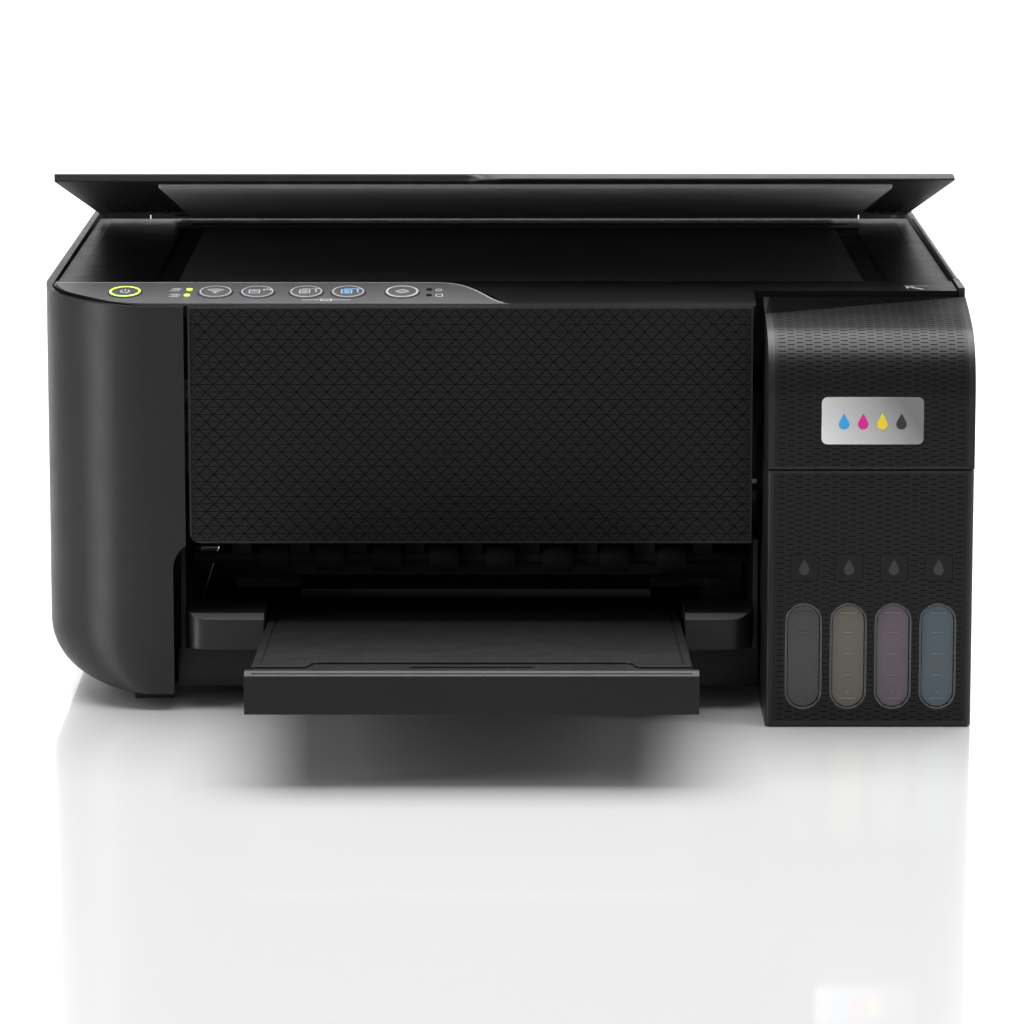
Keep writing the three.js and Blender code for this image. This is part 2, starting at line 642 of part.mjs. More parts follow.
function addMechanism() {
  const inside = [-129.5, 101.5];
  add("output_roller", rollerShaft([92, 52], 2.5, 5.5, inside, spread(8, -96, 70), 12), RUBBER);
  const starBar = box(inside, [behind(84), behind(98)], [61, 67]);
  const starPosts = spread(9, -109, 83).map((x) =>
    box([x - 4, x + 4], [behind(86), behind(96)], [55, 62]),
  );
  add("star_wheel_frame", union([starBar, ...starPosts]), INNER);
  const bed = box([-118, 94], [behind(102), behind(150)], [41, 50]);
  const ledge = box([-84, 61], [behind(72), behind(104)], [41, 42.6]);
  const ledgeFront = box([-84, 61], [behind(72), behind(76)], [38.8, 42.6]);
  add("platen", union([bed, ledge, ledgeFront]), INNER);
  add("feed_roller", rollerShaft([160, 49], 4, 7, [-146, 101.5], [-12], 190), STEEL);
  add("feed_gear", barX(16, [-152, -146.4], [behind(160), 49], 16), FELT);
  const pinion = barX(4, [-152, -145], [behind(181), 49], 8);
  add("feed_motor", barX(12, [-146, -134], [behind(181), 49], 10).add(pinion), METAL_CAN);
  const motorHole = barY(7, [0, 100], [160, 98], 8);
  const rail = box([-170, 170], [behind(158), behind(160)], [76, 118]).subtract(motorHole);
  add("carriage_rail", rail, STEEL);
  const carriage = box([82, 160], [behind(98), behind(150)], [84, 122]);
  add("carriage", carriage, INNER);
  add("print_head", box([92, 150], [behind(106), behind(142)], [80.6, 83.6]), STEEL);
  add("encoder_strip", box([-168, 168], [behind(152), behind(152.6)], [110, 118]), FELT);
  add("timing_belt", belt([-160, 160], [behind(153), behind(157)], 98, 6, 1.2), RUBBER);
  add("idler_pulley", barY(5.6, [behind(153), behind(157)], [-160, 98], 8), INNER);
  const drivePulley = barY(5.6, [behind(153), behind(162)], [160, 98], 8);
  const motorCan = barY(14, [behind(161), behind(188)], [160, 98], 12);
  add("carriage_motor", drivePulley.add(motorCan), METAL_CAN);
  add("waste_ink_pad", box([-120, 90], [behind(240), behind(330)], [FLOOR_TOP + 0.4, 24]), FELT);
  add("main_board", box([112, 113.6], [behind(190), behind(320)], [14, 94]), BOARD);
  add("power_supply", box([122, 176], [behind(200), behind(322)], [14, 62]), METAL_CAN);
}

// The sockets are set in the rear wall, open to the back.
function addSockets() {
  const socket = (name, { x, z }, inset) => {
    const outer = box(x, [BACK_Y - 18, BACK_Y - 0.4], z);
    const cavity = box(
      [x[0] + inset, x[1] - inset], [BACK_Y - 14, FAR], [z[0] + inset, z[1] - inset],
    );
    add(name, outer.subtract(cavity), INNER);
  };
  socket("mains_inlet", MAINS_INLET, 4);
  socket("usb_socket", USB_SOCKET, 2.5);
}

addCasing();
addTankUnit();
addScannerUnit();
addLid();
addOutput();
addRearFeed();
addMechanism();
addSockets();

export default root;
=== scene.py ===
from math import asin, atan2, cos, degrees, hypot, pi, radians, sin, tan

import bmesh
import bpy
from mathutils import Matrix, Vector


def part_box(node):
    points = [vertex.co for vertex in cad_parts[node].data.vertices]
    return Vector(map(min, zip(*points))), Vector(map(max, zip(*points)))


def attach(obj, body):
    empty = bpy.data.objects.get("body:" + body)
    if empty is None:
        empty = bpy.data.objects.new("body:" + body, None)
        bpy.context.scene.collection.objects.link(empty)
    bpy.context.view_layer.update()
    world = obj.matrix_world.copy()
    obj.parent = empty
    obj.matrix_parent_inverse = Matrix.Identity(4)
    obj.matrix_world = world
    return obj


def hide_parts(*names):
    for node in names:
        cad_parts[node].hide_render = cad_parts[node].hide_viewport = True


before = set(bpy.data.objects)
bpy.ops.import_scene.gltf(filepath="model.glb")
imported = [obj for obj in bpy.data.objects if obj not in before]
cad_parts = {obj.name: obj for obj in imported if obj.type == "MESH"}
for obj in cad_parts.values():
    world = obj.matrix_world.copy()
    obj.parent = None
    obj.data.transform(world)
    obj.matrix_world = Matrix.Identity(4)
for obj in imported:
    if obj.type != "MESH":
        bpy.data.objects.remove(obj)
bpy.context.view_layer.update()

# Everything below is drawn in millimetres in the printer's frame and turned into metres
# when a mesh is made: +X to the printer's right, +Y to its back, +Z up.
MM = 0.001


# ---------------------------------------------------------------- sizes from the frame
def span(node, axis):
    """The lowest and highest coordinate of a CAD node along an axis, in millimetres."""
    low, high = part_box(node)
    return low[axis] / MM, high[axis] / MM


X, Y, Z = 0, 1, 2
LEFT = span("left_cover", X)[0]
RIGHT = span("tank_housing", X)[1]
BACK = span("left_cover", Y)[1]
TANK_FRONT = span("tank_housing", Y)[0]
TANK_LEFT = span("tank_housing", X)[0]
BODY_FRONT = span("front_panel", Y)[0]
RIM_TOP = span("left_cover", Z)[1]
BODY_BOTTOM = span("left_cover", Z)[0]
FRONT_TOP = span("front_panel", Z)[1] + 0.1
PANEL = [span("front_panel", axis) for axis in (X, Y, Z)]
GLASS = [span("scanner_glass", axis) for axis in (X, Y, Z)]
WALL = 2.5
CORNER_RADIUS = 46.0
BOTTOM_RADIUS = 24.0
BAY_LEFT = -134.0
BAY_CORNER_RADIUS = 12.0
BAY_CORNER_HEIGHT = 58.5
SCANNER_FRONT = span("control_panel", Y)[0]
CONTROL_REAR = span("control_panel", Y)[1]
FRAME_TOP = span("scanner_frame", Z)[1]


def behind(distance):
    """Y of a point that far behind the ink tank unit's front."""
    return TANK_FRONT + distance


# ---------------------------------------------------------------- mesh helpers
def object_from(name, verts, faces):
    mesh = bpy.data.meshes.new(name)
    mesh.from_pydata([tuple(c * MM for c in v) for v in verts], [], faces)
    tidy = bmesh.new()
    tidy.from_mesh(mesh)
    bmesh.ops.remove_doubles(tidy, verts=tidy.verts, dist=1e-6)
    bmesh.ops.recalc_face_normals(tidy, faces=tidy.faces)
    tidy.to_mesh(mesh)
    tidy.free()
    piece = bpy.data.objects.new(name, mesh)
    bpy.context.scene.collection.objects.link(piece)
    return piece


def apply_modifiers(piece):
    view = bpy.context.evaluated_depsgraph_get()
    view.update()
    mesh = bpy.data.meshes.new_from_object(piece.evaluated_get(view))
    piece.modifiers.clear()
    piece.data = mesh
    return piece


AXES = {
    "X": lambda u, v, w: (w, u, v),
    "Y": lambda u, v, w: (u, w, v),
    "Z": lambda u, v, w: (u, v, w),
}


def prism(name, outline, axis, low, high):
    """A solid with this outline, straight along an axis. The outline is in (Y, Z), (X, Z) or (X, Y)."""
    place = AXES[axis]
    count = len(outline)
    verts = [place(u, v, w) for w in (low, high) for u, v in outline]
    sides = [(i, (i + 1) % count, count + (i + 1) % count, count + i) for i in range(count)]
    faces = [tuple(range(count))[::-1], tuple(range(count, 2 * count))] + sides
    return object_from(name, verts, faces)


def arc(cx, cy, rx, ry, start, end, steps=12):
    """Points along an ellipse's arc, between angles in degrees."""
    angles = [radians(start + (end - start) * i / steps) for i in range(steps + 1)]
    return [(cx + rx * cos(a), cy + ry * sin(a)) for a in angles]


def bezier(a, b, c, d, steps=12):
    points = []
    for i in range(steps + 1):
        t = i / steps
        w = ((1 - t) ** 3, 3 * t * (1 - t) ** 2, 3 * t * t * (1 - t), t ** 3)
        points.append(tuple(sum(k * p[j] for k, p in zip(w, (a, b, c, d))) for j in (0, 1)))
    return points


def round_rect(x, y, r, steps=8):
    (x0, x1), (y0, y1) = x, y
    corners = ((x1 - r, y0 + r, -90), (x1 - r, y1 - r, 0), (x0 + r, y1 - r, 90), (x0 + r, y0 + r, 180))
    return [p for cx, cy, a in corners for p in arc(cx, cy, r, r, a, a + 90, steps)]


def centred_rect(cx, cy, half_x, half_y, r, steps=8):
    return round_rect((cx - half_x, cx + half_x), (cy - half_y, cy + half_y), r, steps)


def ellipse(cx, cy, rx, ry=None, steps=48):
    return arc(cx, cy, rx, ry or rx, 0, 360, steps)[:-1]


def block(name, x, y, z):
    return prism(name, [(x[0], y[0]), (x[1], y[0]), (x[1], y[1]), (x[0], y[1])], "Z", z[0], z[1])


def facing(name, outline, near, far):
    """A solid with an outline in (X, Z), from near to far behind the ink tank unit's front."""
    return prism(name, outline, "Y", behind(near), behind(far))


def combine(piece, others, operation):
    for other in others:
        step = piece.modifiers.new("combine", "BOOLEAN")
        step.object = other
        step.operation = operation
        step.solver = "EXACT"
    apply_modifiers(piece)
    for other in others:
        bpy.data.objects.remove(other)
    return piece


def carve(piece, *cutters):
    return combine(piece, cutters, "DIFFERENCE")


def fuse(piece, *others):
    return combine(piece, others, "UNION")


def join(name, parts):
    """One object of several meshes that only touch or lie apart."""
    whole = bmesh.new()
    for part in parts:
        whole.from_mesh(part.data)
        bpy.data.objects.remove(part)
    mesh = bpy.data.meshes.new(name)
    whole.to_mesh(mesh)
    whole.free()
    piece = bpy.data.objects.new(name, mesh)
    bpy.context.scene.collection.objects.link(piece)
    return piece


def soften(piece, width, segments=3, angle=32):
    """Rounds the piece's edges, and shades it smooth across them."""
    step = piece.modifiers.new("round edges", "BEVEL")
    step.width = width * MM
    step.segments = segments
    step.limit_method = "ANGLE"
    step.angle_limit = radians(angle)
    step.harden_normals = True
    step.use_clamp_overlap = True
    piece.data.polygons.foreach_set("use_smooth", [True] * len(piece.data.polygons))
    return piece


def smooth(piece, angle=35):
    piece.data.polygons.foreach_set("use_smooth", [True] * len(piece.data.polygons))
    piece.data.set_sharp_from_angle(angle=radians(angle))
    return piece


def turn(piece, pivot, angle):
    """Turns a piece about a line along X through pivot = (y, z); a positive angle lifts its front."""
    centre = Vector((0, pivot[0] * MM, pivot[1] * MM))
    spin = Matrix.Rotation(-angle, 4, "X")
    piece.data.transform(Matrix.Translation(centre) @ spin @ Matrix.Translation(-centre))
    return piece


def show(piece, body, finish, slot, *nodes):
    """Gives a finished piece its material and body, and hides the CAD nodes it stands for."""
    piece.data.materials.clear()
    piece.data.materials.append(finish)
    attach(piece, body)
    if nodes:
        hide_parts(*nodes)
    return piece


# ---------------------------------------------------------------- materials
def node_material(name):
    finish = bpy.data.materials.new(name)
    finish.use_nodes = True
    nodes, links = finish.node_tree.nodes, finish.node_tree.links
    shader = nodes["Principled BSDF"]
    place = nodes.new("ShaderNodeTexCoord").outputs["Object"]
    return finish, nodes, links, shader, place


def noise(nodes, links, place, size, detail=3.0):
    """Noise whose features are about this many millimetres across."""
    texture = nodes.new("ShaderNodeTexNoise")
    texture.inputs["Scale"].default_value = 1.0 / (size * MM)
    texture.inputs["Detail"].default_value = detail
    links.new(place, texture.inputs["Vector"])
    return texture.outputs["Fac"]


def ramp(nodes, links, value, dark, light, low=0.3, high=0.7):
    mix = nodes.new("ShaderNodeValToRGB")
    mix.color_ramp.elements[0].position = low
    mix.color_ramp.elements[0].color = (*dark, 1)
    mix.color_ramp.elements[1].position = high
    mix.color_ramp.elements[1].color = (*light, 1)
    links.new(value, mix.inputs["Fac"])
    return mix.outputs["Color"]


def spread_value(nodes, links, value, low, high):
    step = nodes.new("ShaderNodeMapRange")
    step.inputs["From Min"].default_value = 0.3
    step.inputs["From Max"].default_value = 0.7
    step.inputs["To Min"].default_value = low
    step.inputs["To Max"].default_value = high
    links.new(value, step.inputs["Value"])
    return step.outputs["Result"]


def bump(nodes, links, height, depth):
    step = nodes.new("ShaderNodeBump")
    step.inputs["Distance"].default_value = depth * MM
    step.inputs["Strength"].default_value = 1.0
    links.new(height, step.inputs["Height"])
    return step.outputs["Normal"]


def plastic(name, colour, roughness, grain=0.02, grain_size=0.5, variation=0.12, coat=0.0, specular=0.5):
    """Moulded plastic: fine spark-eroded grain, faint mottling and uneven gloss."""
    finish, nodes, links, shader, place = node_material(name)
    mottle = noise(nodes, links, place, 35, 4)
    dark = tuple(c * (1 - variation) for c in colour)
    light = tuple(c * (1 + variation) for c in colour)
    links.new(ramp(nodes, links, mottle, dark, light), shader.inputs["Base Color"])
    gloss = noise(nodes, links, place, 9, 5)
    links.new(
        spread_value(nodes, links, gloss, roughness * 0.92, min(1, roughness * 1.08)),
        shader.inputs["Roughness"],
    )
    if grain:
        fine = noise(nodes, links, place, grain_size, 2)
        links.new(bump(nodes, links, fine, grain), shader.inputs["Normal"])
    shader.inputs["Coat Weight"].default_value = coat
    shader.inputs["Coat Roughness"].default_value = 0.08
    shader.inputs["Specular IOR Level"].default_value = specular
    return finish


def metal(name, colour, roughness, direction="X"):
    """Brushed metal, with fine scratches along one direction."""
    finish, nodes, links, shader, place = node_material(name)
    stretch = nodes.new("ShaderNodeMapping")
    along = {"X": (0.02, 1, 1), "Y": (1, 0.02, 1), "Z": (1, 1, 0.02)}[direction]
    stretch.inputs["Scale"].default_value = along
    links.new(place, stretch.inputs["Vector"])
    scratch = noise(nodes, links, stretch.outputs["Vector"], 0.4, 6)
    dark = tuple(c * 0.8 for c in colour)
    links.new(ramp(nodes, links, scratch, dark, colour), shader.inputs["Base Color"])
    links.new(
        spread_value(nodes, links, scratch, roughness * 0.8, roughness * 1.3), shader.inputs["Roughness"]
    )
    links.new(bump(nodes, links, scratch, 0.01), shader.inputs["Normal"])
    shader.inputs["Metallic"].default_value = 1.0
    return finish


def metal_with_painted_reflection(name, light, dark, direction, low, high):
    """A satin metal foil with a painted reflection: it darkens along a direction, between two distances in
    millimetres.
    """
    finish, nodes, links, shader, place = node_material(name)
    along = nodes.new("ShaderNodeVectorMath")
    along.operation = "DOT_PRODUCT"
    along.inputs[1].default_value = direction
    links.new(place, along.inputs[0])
    reach = nodes.new("ShaderNodeMapRange")
    reach.inputs["From Min"].default_value = low * MM
    reach.inputs["From Max"].default_value = high * MM
    links.new(along.outputs["Value"], reach.inputs["Value"])
    links.new(ramp(nodes, links, reach.outputs["Result"], light, dark, 0, 1), shader.inputs["Base Color"])
    shader.inputs["Metallic"].default_value = 0.6
    shader.inputs["Roughness"].default_value = 0.35
    fine = noise(nodes, links, place, 0.3, 4)
    links.new(bump(nodes, links, fine, 0.004), shader.inputs["Normal"])
    return finish


def fibres(name, colour, size, depth):
    """Felt or a fleecy sheet."""
    finish, nodes, links, shader, place = node_material(name)
    coarse = noise(nodes, links, place, size * 6, 4)
    fine = noise(nodes, links, place, size, 8)
    dark = tuple(c * 0.8 for c in colour)
    links.new(ramp(nodes, links, coarse, dark, colour), shader.inputs["Base Color"])
    links.new(bump(nodes, links, fine, depth), shader.inputs["Normal"])
    shader.inputs["Roughness"].default_value = 0.95
    shader.inputs["Sheen Weight"].default_value = 0.2
    return finish


def glow(name, colour, strength):
    finish, nodes, links, shader, place = node_material(name)
    patch = noise(nodes, links, place, 1.5, 2)
    links.new(
        ramp(nodes, links, patch, tuple(c * 0.93 for c in colour), colour), shader.inputs["Base Color"]
    )
    shader.inputs["Emission Color"].default_value = (*colour, 1)
    shader.inputs["Emission Strength"].default_value = strength
    shader.inputs["Roughness"].default_value = 0.4
    return finish


MOULDED = {"grain": 0.012, "grain_size": 0.35}
THIN_PRINT = {"grain": 0.002, "variation": 0.05}

CASING = plastic("casing_plastic", (0.0075, 0.0075, 0.0077), 0.42, specular=0.4, **MOULDED)
LID_PLASTIC = plastic("lid_plastic", (0.009, 0.009, 0.0092), 0.42, specular=0.35, **MOULDED)
TRAY_PLASTIC = plastic("tray_plastic", (0.0075, 0.0075, 0.0077), 0.45, specular=0.3, **MOULDED)
TEXTURED = plastic(
    "textured_plastic", (0.0055, 0.0055, 0.0057), 0.38, grain=0.006, grain_size=0.3, specular=0.25
)
GLOSS = plastic("gloss_plastic", (0.0055, 0.0055, 0.0058), 0.4, grain=0.003, grain_size=2, specular=0.06)
RAISED_BAR = plastic("raised_bar", (0.02, 0.02, 0.0203), 0.5, grain=0.01, specular=0.12)
# The glass's grey is partly its own dark tone and partly a painted reflection of the lid's pad, raised to stand
# in for that reflection.
GLASS_DARK_AND_PAINTED_REFLECTION = plastic("scanner_glass", (0.04, 0.04, 0.0405), 0.12, grain=0, specular=0.12)
PANEL_FILM = plastic(
    "panel_film", (0.07, 0.07, 0.0725), 0.42, grain=0.004, grain_size=0.4, variation=0.05, specular=0.3
)
# Light grey for thin lines painted along edges as highlights: the control panel's S-shaped edge and the lid
# pad's front edge.
PAINTED_EDGE_HIGHLIGHT = plastic("painted_edge_highlight", (0.3, 0.3, 0.31), 0.3, **THIN_PRINT)
INNER = plastic("inner_plastic", (0.006, 0.006, 0.0062), 0.45, grain=0.015, grain_size=0.6, specular=0.35)
PRINTED = plastic("printed_marks", (0.42, 0.42, 0.43), 0.5, **THIN_PRINT)
BLUE_MARK = plastic("blue_mark", (0.25, 0.5, 0.8), 0.5, **THIN_PRINT)
# Near black for the unlit lamps, and for the painted dark reflection along the glass's sides.
DARK_LAMPS_AND_PAINTED_REFLECTION = plastic("dark_lamps_and_painted_reflection", (0.003, 0.003, 0.003), 0.5, grain=0.002, specular=0.05)
LABEL = plastic("tank_label", (0.0055, 0.0055, 0.0057), 0.5, grain=0.006, grain_size=0.5, specular=0.25)
LABEL_MARK = plastic("label_mark", (0.022, 0.022, 0.0225), 0.45, grain=0.006, grain_size=0.5)
WINDOW_RIM = plastic("window_rim", (0.03, 0.03, 0.03), 0.2, grain=0, variation=0.05, coat=0.6)
RUBBER = plastic("rubber", (0.018, 0.018, 0.018), 0.8, grain=0.03, grain_size=0.4)
PAD = plastic(
    "lid_pad_sheet", (0.42, 0.42, 0.424), 0.6, grain=0.02, grain_size=1.2, variation=0.06, specular=0.3
)
NYLON = plastic("pale_nylon", (0.55, 0.54, 0.5), 0.5, grain=0.01)
BOARD = plastic("solder_mask", (0.01, 0.11, 0.04), 0.35, grain=0.02, grain_size=1.5, variation=0.25)
STEEL = metal("steel", (0.5, 0.5, 0.51), 0.35, "X")
CAN = metal("metal_can", (0.42, 0.42, 0.43), 0.4, "Z")
FELT = fibres("felt", (0.62, 0.61, 0.57), 0.5, 0.3)
GREEN_GLOW = glow("green_light", (0.55, 0.95, 0.08), 1.6)
INK_COLOURS = {
    "black": (0.026, 0.026, 0.0265),
    "yellow": (0.088, 0.077, 0.060),
    "magenta": (0.082, 0.057, 0.076),
    "cyan": (0.048, 0.069, 0.086),
}
INKS = {
    name: plastic("ink_" + name, colour, 0.25, grain=0.003, grain_size=3, variation=0.1, coat=0.4)
    for name, colour in INK_COLOURS.items()
}
LEVEL_MARKS = {
    name: plastic("level_marks_" + name, tuple(c * 1.9 for c in colour), 0.3, grain=0, variation=0.05)
    for name, colour in INK_COLOURS.items()
}
BADGE_COLOURS = {
    "cyan": (0.03, 0.32, 0.68),
    "magenta": (0.62, 0.01, 0.25),
    "yellow": (0.85, 0.62, 0.03),
    "black": (0.02, 0.02, 0.02),
}
BADGE_INKS = {
    name: plastic("badge_" + name, colour, 0.3, grain=0.002) for name, colour in BADGE_COLOURS.items()
}
# The badge foil fades from light at its lower left to dark at its upper right: a painted reflection.
BADGE = metal_with_painted_reflection("badge_foil_with_painted_reflection", (0.85, 0.85, 0.86), (0.22, 0.22, 0.22), (0.82, 0, 0.57), 170, 205)


# ---------------------------------------------------------------- left casing
REAR_RADIUS = 10.0
UPRIGHT_ROWS = (70, 120)



def rim_height(y):
    """The side rim slopes down towards the front of the rounded corner."""
    share = min(1, max(0, (y - BODY_FRONT) / CORNER_RADIUS))
    return FRONT_TOP + (RIM_TOP - FRONT_TOP) * share


def casing_solid(name, inset, right, top=None):
    """The left side as a full solid, its faces set in by inset and its right end at x = right."""
    corner = (LEFT + CORNER_RADIUS, BODY_FRONT + CORNER_RADIUS)

    def row(undercut, height):
        side = LEFT + inset + undercut
        path = [(right, BODY_FRONT + inset)]
        path += arc(*corner, corner[0] - side, CORNER_RADIUS - inset, 270, 180, 32)
        rear_span = max(0.3, REAR_RADIUS - inset - undercut * 0.4)
        path += arc(side + rear_span, BACK - REAR_RADIUS, rear_span, REAR_RADIUS - inset, 180, 90, 8)
        path.append((right, BACK - inset))
        return [(x, y, rim_height(y) if height is None else height) for x, y in path]

    steps = 16
    radius = BOTTOM_RADIUS - inset
    turns = [radians(90 * i / steps) for i in range(steps + 1)]
    rows = [row(radius * (1 - sin(a)), BODY_BOTTOM + inset + radius * (1 - cos(a))) for a in turns]
    rows += [row(0, height) for height in (*UPRIGHT_ROWS, top)]
    width = len(rows[0])
    verts = [p for r in rows for p in r]
    faces = [tuple(range(width)), tuple(range((len(rows) - 1) * width, len(rows) * width))]
    for i in range(len(rows) - 1):
        for j in range(width):
            k = (j + 1) % width
            a, b = i * width, (i + 1) * width
            faces.append((a + j, a + k, b + k, b + j))
    return object_from(name, verts, faces)


def bay_corner(right=-90):
    """The output bay's opening in the left side, with its round upper corner."""
    r = BAY_CORNER_RADIUS
    path = [(BAY_LEFT, 0), (BAY_LEFT, BAY_CORNER_HEIGHT)]
    path += arc(BAY_LEFT + r, BAY_CORNER_HEIGHT, r, r, 180, 90)
    return path + [(right, BAY_CORNER_HEIGHT + r), (right, 0)]


def left_casing():
    """The left side: a front face, a wide round corner, a side and a short rear return."""
    right = span("left_cover", X)[1]
    shell = casing_solid("left_casing", 0, right)
    carve(
        shell,
        casing_solid("inside", WALL, right + 20, 200),
        prism("bay", bay_corner(), "Y", BODY_FRONT - 50, BACK + 50),
        block("rear", (-164, 0), (BACK - 20, BACK + 9), (BODY_BOTTOM + WALL, 300)),
    )
    show(soften(shell, 0.6, 3, 40), "base", CASING, "casing", "left_cover")


# ---------------------------------------------------------------- front panel
TRIANGLE = 3.03
RELIEF_BORDER = 0.9
RELIEF_DEPTH = 0.32
RELIEF_BEVEL = 0.288
PANEL_NOTCH = 4.5
PANEL_FLANGE = (158.6, 160.6)


def triangle_relief(x, z, face):
    """Small right-angled triangles, parted by fine grooves that run in behind the face."""
    columns = round((x[1] - x[0]) / TRIANGLE)
    rows = round((z[1] - z[0]) / TRIANGLE)
    verts, faces = [], []

    def corner(i, k):
        """Grid point i along the row line k, clamped at the panel's sides."""
        column = min(columns, max(0, i))
        dx, dz = (x[1] - x[0]) / columns, (z[1] - z[0]) / rows
        return Vector((x[0] + column * dx, face + RELIEF_DEPTH, z[0] + k * dz))

    for k in range(rows):
        for i in range(-1, columns):
            base, tip = (k, k + 1) if (i + k) % 2 == 0 else (k + 1, k)
            outer = [corner(i, base), corner(i + 2, base), corner(i + 1, tip)]
            centre = sum(outer, Vector()) / 3
            first = len(verts)
            verts += outer
            for point in outer:
                away = point - centre
                inner = centre + away * max(0, 1 - RELIEF_BEVEL / max(away.length, 1e-6))
                verts.append((inner.x, face, inner.z))
            faces.append((first + 3, first + 4, first + 5))
            for a, b in ((0, 1), (1, 2), (2, 0)):
                faces.append((first + a, first + b, first + 3 + b, first + 3 + a))
    return object_from("front_panel_relief", verts, faces)


def front_panel():
    """A plate that frames the relief, with a round lower left corner and a flange behind its top."""
    (x0, x1), _, (z0, z1) = PANEL
    inner_x = (x0 + RELIEF_BORDER, x1 - RELIEF_BORDER)
    inner_z = (z0 + RELIEF_BORDER, z1 - RELIEF_BORDER)
    face = BODY_FRONT + 0.15
    show(triangle_relief(inner_x, inner_z, face), "scanner_unit", TEXTURED, "textured")
    plate = block("front_panel_plate", (x0, x1), (BODY_FRONT, BODY_FRONT + WALL), (z0, z1))
    pocket = block("p", inner_x, (BODY_FRONT - 1, face + RELIEF_DEPTH + 0.25), inner_z)
    r = PANEL_NOTCH
    notch = [(x0 - 1, z0 - 1), (x0 + r, z0 - 1), (x0 + r, z0)]
    notch += arc(x0 + r, z0 + r, r, r, 270, 180) + [(x0 - 1, z0 + r)]
    carve(plate, pocket, prism("n", notch, "Y", BODY_FRONT - 9, BODY_FRONT + 9))
    flange = block("f", (x0, x1), (BODY_FRONT + WALL - 0.5, behind(60)), PANEL_FLANGE)
    soften(fuse(plate, flange), 0.35, 2)
    show(plate, "scanner_unit", CASING, "textured", "front_panel")


# ---------------------------------------------------------------- woven relief of the tank unit
DASH = {"length": 2.9, "gap": 0.65, "pitch": 1.1, "height": 0.42, "depth": 0.34, "lead": 0.3}
DASH_SLOPE = (0.22, 0.1)


def woven_skin(name, x, path, thickness=0.9):
    """A closed sheet that follows a path in (Y, Z), with rows of short grooves like a weave."""
    lengths = [0]
    for a, b in zip(path, path[1:]):
        lengths.append(lengths[-1] + hypot(b[0] - a[0], b[1] - a[1]))

    def at(s):
        """Point and outward normal at a distance along the path."""
        s = min(max(s, 0), lengths[-1])
        i = max(n for n in range(len(path) - 1) if lengths[n] <= s + 1e-9)
        share = (s - lengths[i]) / (lengths[i + 1] - lengths[i])
        (y0, z0), (y1, z1) = path[i], path[i + 1]
        size = hypot(y1 - y0, z1 - z0)
        return (y0 + (y1 - y0) * share, z0 + (z1 - z0) * share), (-(z1 - z0) / size, (y1 - y0) / size)

    rows = int(lengths[-1] // DASH["pitch"])
    cell = DASH["length"] + DASH["gap"]
    columns = int((x[1] - x[0]) // cell)
    margin = (x[1] - x[0] - columns * cell + DASH["gap"]) / 2
    across = [x[0]]
    for i in range(columns):
        start = x[0] + margin + i * cell
        across += [start, start + DASH["length"]]
    across.append(x[1])
    along = [0.0]
    for k in range(rows):
        start = k * DASH["pitch"] + DASH["lead"]
        if start + DASH["height"] < lengths[-1]:
            along += [start, start + DASH["height"]]
    along.append(lengths[-1])

    verts, faces, index = [], [], {}

    def point(x_value, s, depth):
        key = (round(x_value, 4), round(s, 4), depth)
        if key not in index:
            (y, z), (ny, nz) = at(s)
            index[key] = len(verts)
            verts.append((x_value, y - ny * depth, z - nz * depth))
        return index[key]

    for k in range(len(along) - 1):
        for i in range(len(across) - 1):
            (x0, x1), (s0, s1) = across[i:i + 2], along[k:k + 2]
            outer = [point(v, s, 0) for v, s in ((x0, s0), (x1, s0), (x1, s1), (x0, s1))]
            is_dash = i % 2 == 1 and k % 2 == 1 and (i // 2 + k // 2) % 2 == 0
            if not is_dash:
                faces.append(tuple(outer))
                continue
            x0, x1 = x0 + DASH_SLOPE[0], x1 - DASH_SLOPE[0]
            s0, s1 = s0 + DASH_SLOPE[1], s1 - DASH_SLOPE[1]
            inner = [point(v, s, DASH["depth"]) for v, s in ((x0, s0), (x1, s0), (x1, s1), (x0, s1))]
            faces.append(tuple(inner))
            for n in range(4):
                m = (n + 1) % 4
                faces.append((outer[n], outer[m], inner[m], inner[n]))
    # The back of the sheet, and its four sides.
    for k in range(len(along) - 1):
        ends = [point(v, s, thickness) for v, s in (
            (x[0], along[k]), (x[1], along[k]), (x[1], along[k + 1]), (x[0], along[k + 1]))]
        faces.append(tuple(ends[::-1]))
        for side in (0, 1):
            low, high = along[k], along[k + 1]
            faces.append((
                point(x[side], low, 0), point(x[side], high, 0),
                point(x[side], high, thickness), point(x[side], low, thickness),
            ))
    for s in (along[0], along[-1]):
        edge = [point(v, s, 0) for v in across]
        faces.append(tuple(edge + [point(x[1], s, thickness), point(x[0], s, thickness)]))
    return object_from(name, verts, faces)


# ---------------------------------------------------------------- ink tank unit
TANK_X = [sum(span("ink_tank_" + colour, X)) / 2 for colour in INK_COLOURS]
WINDOW_HALF = 6.9
WINDOW = (7.8, 50.1)
SEAM = 104.5
SKIN_MARGIN = 2.6
LABEL_HALF = 5.55
LABEL_CENTRE = 65.1
BADGE_X = (126.4, 167.0)
BADGE_Z = (115.0, 134.0)


def stadium(x, grow):
    half = WINDOW_HALF + grow
    return round_rect((x - half, x + half), (WINDOW[0] - grow, WINDOW[1] + grow), half - 0.01, 12)


def tank_profile(inset=0.0, rear=51.5):
    """Side view of the tank cover's outer face, from its bottom edge up and back."""
    path = [(behind(inset), SEAM + 0.5), (behind(inset), 133.0)]
    path += bezier(
        (behind(inset), 133.0), (behind(inset), 146 - inset),
        (behind(6 + inset / 2), 155.2 - inset), (behind(18), 159.2 - inset), 18,
    )[1:]
    path += [(behind(32), 163 - inset), (behind(rear), 167.2 - inset)]
    return path


